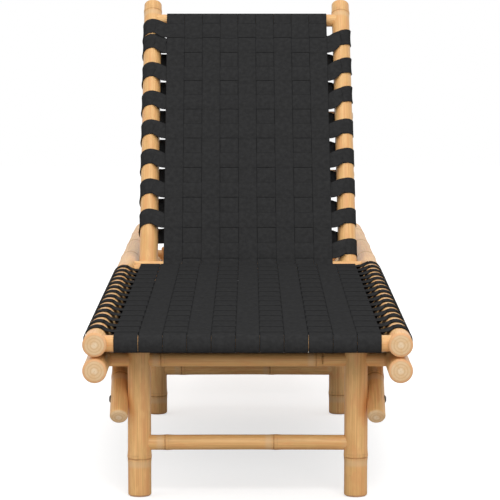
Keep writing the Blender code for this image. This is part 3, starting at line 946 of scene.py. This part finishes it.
def ease(begin: Vector, end: Vector, out_begin: Vector, out_end: Vector) -> Route:
    """A soft S between two ends, without the ends themselves.

    Args:
        begin: the first end.
        end: the second end.
        out_begin: the outward direction at the first end.
        out_end: the outward direction at the second end.

    Returns:
        Points and their outward directions.
    """
    points, outward = [], []
    for share in (0.12, 0.3, 0.5, 0.7, 0.88):
        soft = share * share * (3 - 2 * share)
        point = begin.lerp(end, share)
        point.y = begin.y + (end.y - begin.y) * soft
        points.append(point)
        outward.append(out_begin.lerp(out_end, soft).normalized())
    return points, outward


def spread(low: float, high: float, bands: Bands, half: float, soft: float) -> list[float]:
    """Places from low to high that catch each rise beside each band.

    Args:
        low: the first place.
        high: the last place.
        bands: each crossing tape's middle and way.
        half: half the crossing tape's width.
        soft: how long a rise takes.

    Returns:
        The places, at least 0.2 mm apart.
    """
    steps, least = 5, 0.0002
    stops = {low, high}
    for middle, _ in bands:
        stops.add(middle)
        for share in (step / steps for step in range(steps + 1)):
            stops.update((middle - half - soft * share, middle + half + soft * share))
    inside = sorted(s for s in stops if low <= s <= high)
    kept = [inside[0]]
    for stop in inside[1:]:
        if stop - kept[-1] > least:
            kept.append(stop)
    return kept


@dataclass
class Panel:
    """A woven panel: lengthwise tape round two bars, crosswise tape round two side poles.

    Attributes:
        sizes: the lounger's sizes.
        columns, column_pitch: the columns of the lengthwise tape and their step.
        column_shifts: how far some columns stand off their step.
        over_columns: 0 where the crosswise tape passes over the even columns, or 1 for the odd ones.
        tape_width: the width of both tapes.
        rows: each crosswise row's place, and 1 where it weaves like the first row or -1 where not.
        low, high: the bars' middles, along and up.
        bar_radius: the bars' radius.
        side_x, side_w: how far across and how high a side pole's axis lies.
        side_radius: the side poles' radius.
        left_wrap, right_wraps: how the tape moves on the left pole, and on the right one row by row.
        hug: the angle by which a wrap begins inside a side pole.
        looseness: extra room between the crosswise tape and the side poles.
        behind_gap: how far behind the panel the runs back lie.
        early_rise: the share of the way to the next row that the tape makes before such a run.
        left_ease: how far off its wrap such a run ends.
        slack: how far such a run reaches past the columns.
        tucked: whether the last row ends on the last column and doesn't go round the right pole.
        tuck: how far inside the right edge it then ends.
        soft: how long a rise at a crossing takes.
        bar_room: how far from a bar's axis the flat run of the lengthwise tape begins.
    """

    sizes: Sizes
    columns: int
    column_pitch: float
    column_shifts: dict[int, float]
    over_columns: int
    tape_width: float
    rows: Bands
    low: Vector
    high: Vector
    bar_radius: float
    side_x: float
    side_w: float
    side_radius: float
    left_wrap: Wrap
    right_wraps: list[Wrap]
    hug: float
    looseness: float
    behind_gap: float
    early_rise: float
    left_ease: float
    slack: float
    tucked: bool
    tuck: float = 0.004
    soft: float = 0.0018
    bar_room: float = 0.002

    def __post_init__(self) -> None:
        """Work out the wound radii and the reach of the columns."""
        tape = self.sizes.tape_clearance + self.sizes.tape_thickness / 2
        self.warp = Winding(self.bar_radius + tape)
        self.weft = Winding(self.side_radius + tape + self.looseness, self.hug)
        self.reach = self.columns * self.column_pitch / 2

    def column_x(self, column: int) -> float:
        """The middle of a column across the panel."""
        return (column - (self.columns - 1) / 2) * self.column_pitch + self.column_shifts.get(column, 0.0)

    def way(self, column: int) -> float:
        """1 where the crosswise tape passes over a column, else -1."""
        return 1.0 if column % 2 == self.over_columns else -1.0

    def level(self, along: float) -> float:
        """The panel's middle surface at a place along it."""
        share = (along - self.low.x) / (self.high.x - self.low.x)
        return self.low.y + (self.high.y - self.low.y) * share + self.warp.radius

    def warp_route(self) -> Route:
        """The lengthwise tape, column after column.

        Returns:
            Points and their outward directions.
        """
        points, outward = [], []
        slope = (self.high - self.low).normalized()
        ahead, up = Vector((0.0, slope.x, slope.y)), Vector((0.0, -slope.y, slope.x))
        half = self.tape_width / 2
        for column in range(self.columns):
            x = self.column_x(column)
            low, high = (Vector((x, bar.x, bar.y)) for bar in (self.low, self.high))
            bands = [(place, -way * self.way(column)) for place, way in self.rows]
            flat = []
            start, stop = self.low.x + self.bar_room, self.high.x - self.bar_room
            for place in spread(start, stop, bands, half, self.soft):
                rise = self.warp.crossing(place, bands, half, self.soft)
                flat.append(Vector((x, place, self.level(place) + rise)))
            for new_points, new_outward in (self.warp.arc(low, up, -ahead, math.pi, 0.0),
                                            (flat, [up] * len(flat)),
                                            self.warp.arc(high, up, ahead, 0.0, math.pi)):
                points.extend(new_points)
                outward.extend(new_outward)
        return points, outward

    def row_route(self, along: float, way: float, stop: float) -> Route:
        """One straight run over the panel, from its left edge.

        Args:
            along: the row's place along the panel.
            way: 1 where the row weaves like the first one, -1 where it weaves the other way.
            stop: where across the panel it ends.

        Returns:
            Points and their outward directions.
        """
        half = self.tape_width / 2
        bands = [(self.column_x(column), way * self.way(column)) for column in range(self.columns)]
        points = []
        for x in spread(-self.reach, stop, bands, half, self.soft):
            rise = self.weft.crossing(x, bands, half, self.soft)
            points.append(Vector((x, along, self.level(along) + rise)))
        return points, [Vector((0.0, 0.0, 1.0))] * len(points)

    def behind(self, begin: float, end: float) -> Route:
        """The run back behind the panel, from its right edge to its left one.

        Args:
            begin: the place along the panel where it leaves the right pole.
            end: the place where it meets the left pole.

        Returns:
            Points and their outward directions.
        """
        reach = self.reach + self.slack
        points = []
        for share in (0.0, 0.25, 0.5, 0.75, 1.0):
            along = begin + (end - begin) * share
            points.append(Vector((reach * (1 - 2 * share), along, self.level(along) - self.behind_gap)))
        return points, [Vector((0.0, 0.0, -1.0))] * len(points)

    def weft_route(self) -> Route:
        """The crosswise tape: over the panel, round the right pole, back behind, round the left pole.

        Returns:
            Points and their outward directions.
        """
        parts = []
        for index, (along, way) in enumerate(self.rows):
            last = index == len(self.rows) - 1
            if index > 0:
                turn = self.weft.wrap(Vector((-self.side_x, along, self.side_w)), -1.0, self.left_wrap)
                parts.append((turn[0][::-1], turn[1][::-1]))
            if last and self.tucked:
                parts.append(self.row_route(along, way, self.reach - self.tuck))
                break
            right = self.right_wraps[index]
            parts.append(self.row_route(along, way, self.reach))
            parts.append(self.weft.wrap(Vector((self.side_x, along, self.side_w)), 1.0, right))
            if not last:
                begin, end = along + right.back, self.rows[index + 1][0] + self.left_wrap.back
                parts.append(self.behind(begin + (end - begin) * self.early_rise, end + self.left_ease))
        points, outward = list(parts[0][0]), list(parts[0][1])
        for new_points, new_outward in parts[1:]:
            eased = ease(points[-1], new_points[0], outward[-1], new_outward[0])
            points += eased[0] + new_points
            outward += eased[1] + new_outward
        return points, outward


class Workshop:
    """Makes the pieces, hangs each on its node's body and hides the node."""

    def __init__(self) -> None:
        """Prepare the sizes, the finishes and the two sweep trees."""
        self.sizes = Sizes()
        self.bamboo = BambooFinish().build()
        self.webbing = WebbingFinish().build()
        self.steel = SteelFinish().build()
        self.round_tree = SweepTree(Section.ROUND)
        self.tape_tree = SweepTree(Section.FLAT)
        self.count = 0

    def next_seed(self) -> int:
        """The number of the piece that is begun, which is its seed too."""
        self.count += 1
        return self.count

    def place(self, name: str, mesh: bpy.types.Mesh, node: str, slot: Slot) -> None:
        """Put a finished mesh in the scene for a node of the frame.

        Args:
            name: the piece's name.
            mesh: its mesh, placed in the row frame.
            node: the node it stands for.
            slot: the record's material slot; not used.
        """
        piece = link(bpy.data.objects.new(name, mesh))
        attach(piece, BODY_OF[node])
        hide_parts(node)
        LOG.info("%s rides on %s: %d faces", name, BODY_OF[node], len(mesh.polygons))

    def culm(self, node: str, culm: Culm) -> None:
        """Make a culm that stands for a node."""
        mesh = culm.mesh(node + "_culm", self.next_seed(), self.round_tree, self.bamboo)
        self.place(node + "_culm", mesh, node, Slot.BAMBOO)

    def tape(self, node: str, route: Route, width: float) -> None:
        """Make a tape that stands for a node.

        Args:
            node: the node it stands for.
            route: its points and their outward directions.
            width: its width.
        """
        points, outward = route
        along = [0.0]
        for before, after in zip(points, points[1:]):
            along.append(along[-1] + (after - before).length)
        layers = {"facing": outward, "along": along, "batch": [float(self.next_seed())] * len(points),
                  "half": [width / 2] * len(points)}
        mesh = self.tape_tree.sweep(node + "_tape", points, layers, {
            "Width": width, "Thickness": self.sizes.tape_thickness, "Sides": 2, "Finish": self.webbing})
        LOG.info("%s_tape is %.2f m long", node, along[-1])
        self.place(node + "_tape", mesh, node, Slot.WEBBING)


@dataclass
class SeatFrame:
    """The side rails, bars, legs, stretchers and braces.

    Attributes:
        shop: makes the pieces.
        rails: each rail with its nodes' places as shares of its length.
        legs: each leg row with its legs' nodes.
        cross_bar_knots, stretcher_knots: the nodes of the culms between the legs.
        leg_bow, stretcher_bow: how far the middles stand off the straight line.
        stretcher_stout: what the stretchers' radius is multiplied by.
        stretcher_sag: how much lower than their solids the stretchers lie.
        braces: each row with braces, and 1 where they rise to the rear or -1 where to the front.
        brace_stout: the braces' radius over their solids' radius.
        brace_slope: their slope.
        brace_bolt_drop: how far under the base rails' axes their leg bolts lie.
        brace_foot, brace_head: how far they reach below and above these bolts.
        brace_knots: their nodes.
    """

    shop: Workshop
    rails: KnotTable = (("seat_rail", (0.13, 0.26, 0.40, 0.53, 0.66, 0.79, 0.92)),
                        ("base_rail", (0.11, 0.24, 0.37, 0.50, 0.63, 0.75, 0.88)))
    legs: KnotTable = (("front", (0.272,)), ("middle", (0.165,)), ("head", (0.24,)))
    cross_bar_knots: Knots = (0.2, 0.74)
    stretcher_knots: Knots = (0.11, 0.63)
    leg_bow: float = 0.0008
    stretcher_bow: float = 0.0010
    stretcher_stout: float = 1.15
    stretcher_sag: float = 0.004
    braces: tuple[tuple[str, float], ...] = (("front", 1.0), ("head", -1.0))
    brace_stout: float = 1.05
    brace_slope: float = math.radians(37.0)
    brace_bolt_drop: float = 0.0685
    brace_foot: float = 0.045
    brace_head: float = 0.095 + 0.035 / 3
    brace_knots: Knots = (0.62,)

    def build(self) -> None:
        """Make every culm of the frame from its node's own box."""
        for side in SIDES:
            for rail, knots in self.rails:
                self.lie(f"{rail}_{side}", 1, knots)
            for row, knots in self.legs:
                self.lie(f"{row}_leg_{side}", 2, knots, self.leg_bow)
            for index in (1, 2):
                self.lie(f"rail_dowel_{side}_{index}", 2)
        for bar in ("seat_front_bar", "seat_rear_bar"):
            self.lie(bar, 0)
        for row, _ in self.legs:
            self.lie(f"{row}_cross_bar", 0, self.cross_bar_knots, self.leg_bow)
            self.lie(f"{row}_stretcher", 0, self.stretcher_knots, self.stretcher_bow,
                     self.stretcher_stout, self.stretcher_sag)
        for row, toward in self.braces:
            for side in SIDES:
                self.brace(f"{row}_brace_{side}", toward)

    def lie(self, node: str, axis: int, knots: Knots = (), bow: float = 0.0,
            stout: float = 1.0, sag: float = 0.0) -> None:
        """Make a culm along one of the frame's axes, as long as its node.

        Args:
            node: the node it stands for.
            axis: 0 for across, 1 for along or 2 for up.
            knots: its nodes' places; a culm with nodes is slimmer between them.
            bow: how far its middle stands off the straight line.
            stout: what its radius is multiplied by.
            sag: how much lower than its solid it lies.
        """
        low, high = corners(node)
        middle = (low + high) / 2 - Vector((0.0, 0.0, sag))
        start, end = middle.copy(), middle.copy()
        start[axis], end[axis] = low[axis], high[axis]
        girths = [(high - low)[i] for i in range(3) if i != axis]
        radius = min(girths) / 2 / (NODE_STOUT if knots else 1.0) * stout
        self.shop.culm(node, Culm(start, end, radius, knots, bow))

    def brace(self, node: str, toward: float) -> None:
        """Make a sloping brace.

        Args:
            node: the node it stands for.
            toward: 1 where it rises to the rear or -1 where it rises to the front.
        """
        sizes = self.shop.sizes
        low, high = corners(node)
        radius = (high.x - low.x) / 2 * self.brace_stout
        along = Vector((0.0, toward * math.cos(self.brace_slope), math.sin(self.brace_slope)))
        bolt = Vector(((low.x + high.x) / 2, toward * (sizes.leg_inset - sizes.rail_length / 2),
                       middle_of("base_rail_left").z - self.brace_bolt_drop))
        self.shop.culm(node, Culm(bolt - along * self.brace_foot, bolt + along * self.brace_head,
                                  radius, self.brace_knots))


@dataclass
class Backrest:
    """The poles, bars and stiffener that lean back, and the prop behind them.

    Attributes:
        shop: makes the pieces.
        bars: each bar from side to side with its nodes' places as shares of its length.
        prop_radius, prop_knots: the prop's legs.
        hinge_gap, foot_gap: how far from the axes of its bars they begin and end.
    """

    shop: Workshop
    bars: KnotTable = (("backrest_pivot_bar", ()), ("backrest_top_rail", ()),
                       ("backrest_stiffener", (0.3, 0.62)), ("prop_hinge_bar", (0.3, 0.62)),
                       ("prop_foot_bar", ()))
    prop_radius: float = 0.0095
    prop_knots: Knots = (0.45,)
    hinge_gap: float = 0.004
    foot_gap: float = 0.003

    def build(self) -> None:
        """Make the culms of the backrest and the prop."""
        sizes = self.shop.sizes
        for side, way in SIDES.items():
            x = way * sizes.pole_spacing / 2
            start = sizes.back_point(x, -sizes.pole_tail, -sizes.pole_setback)
            end = sizes.back_point(x, sizes.top_rail_u + sizes.pole_overhang, -sizes.pole_setback)
            pole = Culm(start, end, sizes.pole_radius, (sizes.node_share_top,))
            self.shop.culm(f"backrest_pole_{side}", pole)
        for node, knots in self.bars:
            self.across(node, knots)
        hinge, foot = middle_of("prop_hinge_bar"), middle_of("prop_foot_bar")
        along = (foot - hinge).normalized()
        for side in SIDES:
            node = f"prop_leg_{side}"
            shift = Vector((middle_of(node).x, 0.0, 0.0))
            start = hinge + shift + along * self.hinge_gap
            end = foot + shift - along * self.foot_gap
            self.shop.culm(node, Culm(start, end, self.prop_radius, self.prop_knots))

    def across(self, node: str, knots: Knots) -> None:
        """Make a bar from side to side.

        Args:
            node: the node it stands for.
            knots: its nodes' places; a culm with nodes is slimmer between them.
        """
        low, high = corners(node)
        middle = (low + high) / 2
        radius = (high.z - low.z) / 2 / (NODE_STOUT if knots else 1.0)
        self.shop.culm(node, Culm(Vector((low.x, middle.y, middle.z)), Vector((high.x, middle.y, middle.z)),
                                  radius, knots))


@dataclass
class Webbing:
    """The four woven tapes.

    Attributes:
        shop: makes the pieces.
        seat_tape, back_tape: the tapes' widths.
        seat_left, seat_right: how the seat's tape moves on the rails.
        seat_play, seat_seed: how much that differs from row to row on the right rail.
        seat_shifts: how far some columns of the seat stand off their step.
        back_left, back_right: how the backrest's tape moves on the poles.
        steep, steep_from: how it moves on the right pole from this row up.
        last_step: from the last but one row of the backrest to the last.
        behind_gap: how far behind the panels the runs back lie.
    """

    shop: Workshop
    seat_tape: float = 0.0403
    seat_left: Wrap = Wrap(-0.016, -0.019, -0.030)
    seat_right: Wrap = Wrap(-0.016, -0.016, 0.002)
    seat_play: float = 0.003
    seat_seed: int = 11
    seat_shifts: tuple[tuple[int, float], ...] = ((0, -0.0007), (8, 0.0005), (9, 0.0005), (10, 0.0005))
    back_tape: float = 0.0395
    back_left: Wrap = Wrap(0.013, 0.006, -0.012)
    back_right: Wrap = Wrap(0.014, 0.020, 0.024)
    steep: Wrap = Wrap(0.021, 0.034, 0.046)
    steep_from: int = 5
    last_step: float = 0.0425
    behind_gap: float = 0.0330

    def seat_panel(self) -> Panel:
        """Lay out the seat, from the rear bar forward.

        Returns:
            The panel.
        """
        sizes = self.shop.sizes
        rows = [(sizes.seat_margin + turn * sizes.seat_pitch, 1.0) for turn in range(sizes.seat_turns)]
        draw = random.Random(self.seat_seed)
        front, silhouette, back = self.seat_right.front, self.seat_right.silhouette, self.seat_right.back
        wraps = [Wrap(front, silhouette + draw.uniform(-self.seat_play, self.seat_play), back) for _ in rows]
        return Panel(
            sizes=sizes, columns=sizes.seat_columns, column_pitch=sizes.seat_column_pitch,
            column_shifts=dict(self.seat_shifts), over_columns=0, tape_width=self.seat_tape, rows=rows,
            low=Vector((0.0, sizes.seat_rail_height)),
            high=Vector((sizes.seat_rear_y - sizes.seat_front_y, sizes.seat_rail_height)),
            bar_radius=sizes.seat_bar_radius, side_x=sizes.rail_spacing / 2, side_w=sizes.seat_rail_height,
            side_radius=sizes.rail_radius, left_wrap=self.seat_left, right_wraps=wraps, hug=0.80,
            looseness=0.0007, behind_gap=self.behind_gap, early_rise=0.12, left_ease=0.0, slack=0.002,
            tucked=False)

    def back_panel(self) -> Panel:
        """Lay out the backrest, from the hinge up; its last row lies close under the top rail.

        Returns:
            The panel.
        """
        sizes = self.shop.sizes
        rows = [(sizes.first_band + turn * sizes.back_pitch, 1.0) for turn in range(sizes.back_turns - 1)]
        rows.append((rows[-1][0] + self.last_step, -1.0))
        wraps = [self.steep if row >= self.steep_from else self.back_right for row in range(len(rows))]
        return Panel(
            sizes=sizes, columns=sizes.back_columns, column_pitch=sizes.back_column_pitch,
            column_shifts={}, over_columns=1, tape_width=self.back_tape, rows=rows, low=Vector((0.0, 0.0)),
            high=Vector((sizes.top_rail_u, -sizes.top_rail_setback)), bar_radius=sizes.back_bar_radius,
            side_x=sizes.pole_spacing / 2, side_w=-sizes.pole_setback, side_radius=sizes.pole_radius,
            left_wrap=self.back_left, right_wraps=wraps, hug=0.30, looseness=0.0,
            behind_gap=self.behind_gap, early_rise=0.74, left_ease=-0.006, slack=0.0, tucked=True)

    def seat_place(self, point: Vector) -> Vector:
        """A place in the seat's flat coordinates, which run forward from the rear bar."""
        return Vector((point.x, self.shop.sizes.seat_rear_y - point.y, point.z))

    def seat_turn(self, way: Vector) -> Vector:
        """A direction in the seat's flat coordinates."""
        return Vector((way.x, -way.y, way.z))

    def back_place(self, point: Vector) -> Vector:
        """A place in the backrest's flat coordinates, which run up from the hinge."""
        return self.shop.sizes.back_point(point.x, point.y, point.z)

    def back_turn(self, way: Vector) -> Vector:
        """A direction in the backrest's flat coordinates."""
        sizes = self.shop.sizes
        return Vector((way.x, 0.0, 0.0)) + sizes.up_axis * way.y + sizes.front_axis * way.z

    def build(self) -> None:
        """Wind the four tapes."""
        for label, panel, place, turn in (("seat", self.seat_panel(), self.seat_place, self.seat_turn),
                                          ("backrest", self.back_panel(), self.back_place, self.back_turn)):
            for way, (points, outward) in (("warp", panel.warp_route()), ("weft", panel.weft_route())):
                route = [place(point) for point in points], [turn(out) for out in outward]
                self.shop.tape(f"{label}_{way}_strap", route, panel.tape_width)


@dataclass
class Fittings:
    """Steel bolts, screws and staples, and the laths that the prop slides on.

    Attributes:
        shop: makes the pieces.
        steel_words: the words in the names of the steel nodes.
        lath_bevel: how far a lath's edges are eased.
        lath_grain: turns metres into the unit of the finish's ring, whose size is its inverse.
        lath_batches: how many laths differ in their patterns.
    """

    shop: Workshop
    steel_words: tuple[str, ...] = ("bolt", "screw", "staple")
    lath_bevel: float = 0.0018
    lath_grain: float = 50.0
    lath_batches: float = 7.0

    def build(self) -> None:
        """Give the frame's own small solids their finishes."""
        for name, node in frame["nodes"].items():
            if any(word in name for word in self.steel_words):
                self.dress(node, self.shop.steel)
            if name.startswith("rack_"):
                self.lath(name)

    def dress(self, node: bpy.types.Object, finish: bpy.types.Material) -> None:
        """Put a new finish in a frame solid's slots.

        Args:
            node: the solid.
            finish: its new material.
        """
        for slot in node.material_slots:
            slot.material = finish
        LOG.info("%s keeps its solid", node.name)

    def lath(self, node: str) -> None:
        """Make a split lath with eased edges, as large as its node's box.

        Args:
            node: the node it stands for.
        """
        low, high = corners(node)
        shell = bmesh.new()
        bmesh.ops.create_cube(shell, size=1.0)
        for vertex in shell.verts:
            vertex.co = [a + (b - a) * (c + 0.5) for a, b, c in zip(low, high, vertex.co)]
        bmesh.ops.bevel(shell, geom=list(shell.edges), offset=self.lath_bevel, segments=3, profile=0.5,
                        affect="EDGES")
        mesh = bpy.data.meshes.new(node + "_lath")
        shell.to_mesh(mesh)
        shell.free()
        spots = [vertex.co - (low + high) / 2 for vertex in mesh.vertices]
        batch = self.shop.next_seed() / self.lath_batches % 1.0
        along = [vertex.co.y for vertex in mesh.vertices]
        plain = {"knot": 1.0, "cut": 0.0, "reach": 1.0, "batch": batch}
        layers = {"along": along, **{label: [value] * len(spots) for label, value in plain.items()}}
        for label, values in layers.items():
            mesh.attributes.new(label, "FLOAT", "POINT").data.foreach_set("value", values)
        rings = [c for spot in spots for c in (spot.x * self.lath_grain, spot.z * self.lath_grain, 0.0)]
        mesh.attributes.new("ring", "FLOAT_VECTOR", "POINT").data.foreach_set("vector", rings)
        mesh.materials.append(self.shop.bamboo)
        self.shop.place(node + "_lath", mesh, node, Slot.BAMBOO)


class Lamp(NamedTuple):
    """A square lamp: its name, place, edge in metres and power in watts."""

    name: str
    place: Triple
    size: float
    power: float


@dataclass
class Studio:
    """Floor, light and camera.

    Attributes:
        camera_place, view_angle, lens, sensor: the camera, with its tilt down and its lens in millimetres.
        view_end: how far it sees.
        lamps: the lamps, which all face the aim.
        aim: the point that they face.
        glow_low, glow_rise: the surround's light from below, and how much more comes from above.
        floor_half: half the floor's edge.
        floor_dull: the floor's colour for all rays but the camera's.
        floor_pale, floor_glow: its grey and its own light for the camera.
    """

    camera_place: Triple = (0.0040, -5.8956, 0.8798)
    view_angle: float = 0.0919
    lens: float = 209.2
    sensor: float = 36.0
    view_end: float = 60.0
    lamps: tuple[Lamp, ...] = (Lamp("key", (0.7, -4.4, 2.6), 2.2, 70.0),
                               Lamp("fill", (-3.0, -2.6, 1.6), 2.4, 14.0),
                               Lamp("crown", (0.0, -0.4, 4.4), 3.0, 48.0))
    aim: Triple = (0.0, -0.2, 0.3)
    glow_low: float = 0.44
    glow_rise: float = 0.26
    floor_half: float = 8.0
    floor_dull: Triple = (0.58, 0.57, 0.56)
    floor_pale: float = 0.72
    floor_glow: float = 0.62

    def build(self) -> None:
        """Set the stage."""
        self.floor()
        self.world()
        for lamp in self.lamps:
            self.hang(lamp)
        self.camera()
        bpy.context.scene.view_settings.view_transform = "Standard"

    def rays(self, graph: Graph, label: str) -> Socket:
        """1 for the rays of one kind."""
        return graph.add("ShaderNodeLightPath", output=label)

    def floor(self) -> None:
        """Lay a pale floor that keeps a soft shadow."""
        half = self.floor_half
        mesh = bpy.data.meshes.new("floor")
        mesh.from_pydata([(-half, -half, 0), (half, -half, 0), (half, half, 0), (-half, half, 0)], [],
                         [(0, 1, 2, 3)])
        floor = link(bpy.data.objects.new("floor", mesh))
        material, graph = new_surface("floor_white")
        dull = graph.add("ShaderNodeBsdfDiffuse", None, {"Color": (*self.floor_dull, 1.0)})
        pale = graph.add("ShaderNodeBsdfPrincipled", None, {
            "Base Color": (*[self.floor_pale] * 3, 1.0), "Roughness": 0.95, "Specular IOR Level": 0.0,
            "Emission Color": (1.0, 1.0, 1.0, 1.0), "Emission Strength": self.floor_glow})
        mixed = graph.add("ShaderNodeMixShader", None,
                          {0: self.rays(graph, "Is Camera Ray"), 1: dull, 2: pale})
        graph.add("ShaderNodeOutputMaterial", None, {"Surface": mixed})
        mesh.materials.append(material)

    def world(self) -> None:
        """Put a surround round the stage that looks white and lights softly."""
        world = bpy.data.worlds.new("surround")
        world.use_nodes = True
        graph = Graph(world.node_tree)
        spot = graph.add("ShaderNodeTexCoord", output="Generated")
        up = graph.add("ShaderNodeSeparateXYZ", None, {0: spot}, 2)
        ambient = up.step(-0.1, 0.9) * self.glow_rise + self.glow_low
        seen = (self.rays(graph, "Is Camera Ray") + self.rays(graph, "Is Glossy Ray")
                + self.rays(graph, "Is Transmission Ray"))
        strength = graph.add("ShaderNodeMath", {"operation": "MAXIMUM"}, {0: ambient, 1: seen})
        glow = graph.add("ShaderNodeBackground", None, {"Color": (1.0, 1.0, 1.0, 1.0), "Strength": strength})
        graph.add("ShaderNodeOutputWorld", None, {"Surface": glow})
        bpy.context.scene.world = world

    def hang(self, lamp: Lamp) -> None:
        """Hang one lamp so that it faces the aim.

        Args:
            lamp: the lamp's name, place, size and power.
        """
        light = bpy.data.lights.new(lamp.name, "AREA")
        light.size = lamp.size
        light.energy = lamp.power
        holder = link(bpy.data.objects.new(lamp.name, light))
        holder.location = lamp.place
        holder.rotation_euler = (Vector(self.aim) - Vector(lamp.place)).to_track_quat("-Z", "Y").to_euler()

    def camera(self) -> None:
        """Set up the photograph's view from the foot end with a long lens."""
        data = bpy.data.cameras.new("camera")
        data.lens = self.lens
        data.sensor_width = self.sensor
        data.clip_end = self.view_end
        camera = link(bpy.data.objects.new("camera", data))
        camera.location = self.camera_place
        camera.rotation_euler = (math.pi / 2 - self.view_angle, 0.0, 0.0)
        bpy.context.scene.camera = camera


def main() -> None:
    """Build the lounger's looks piece by piece."""
    shop = Workshop()
    for assembly in (SeatFrame(shop), Backrest(shop), Webbing(shop), Fittings(shop), Studio()):
        assembly.build()


if __name__ == "__main__":
    main()
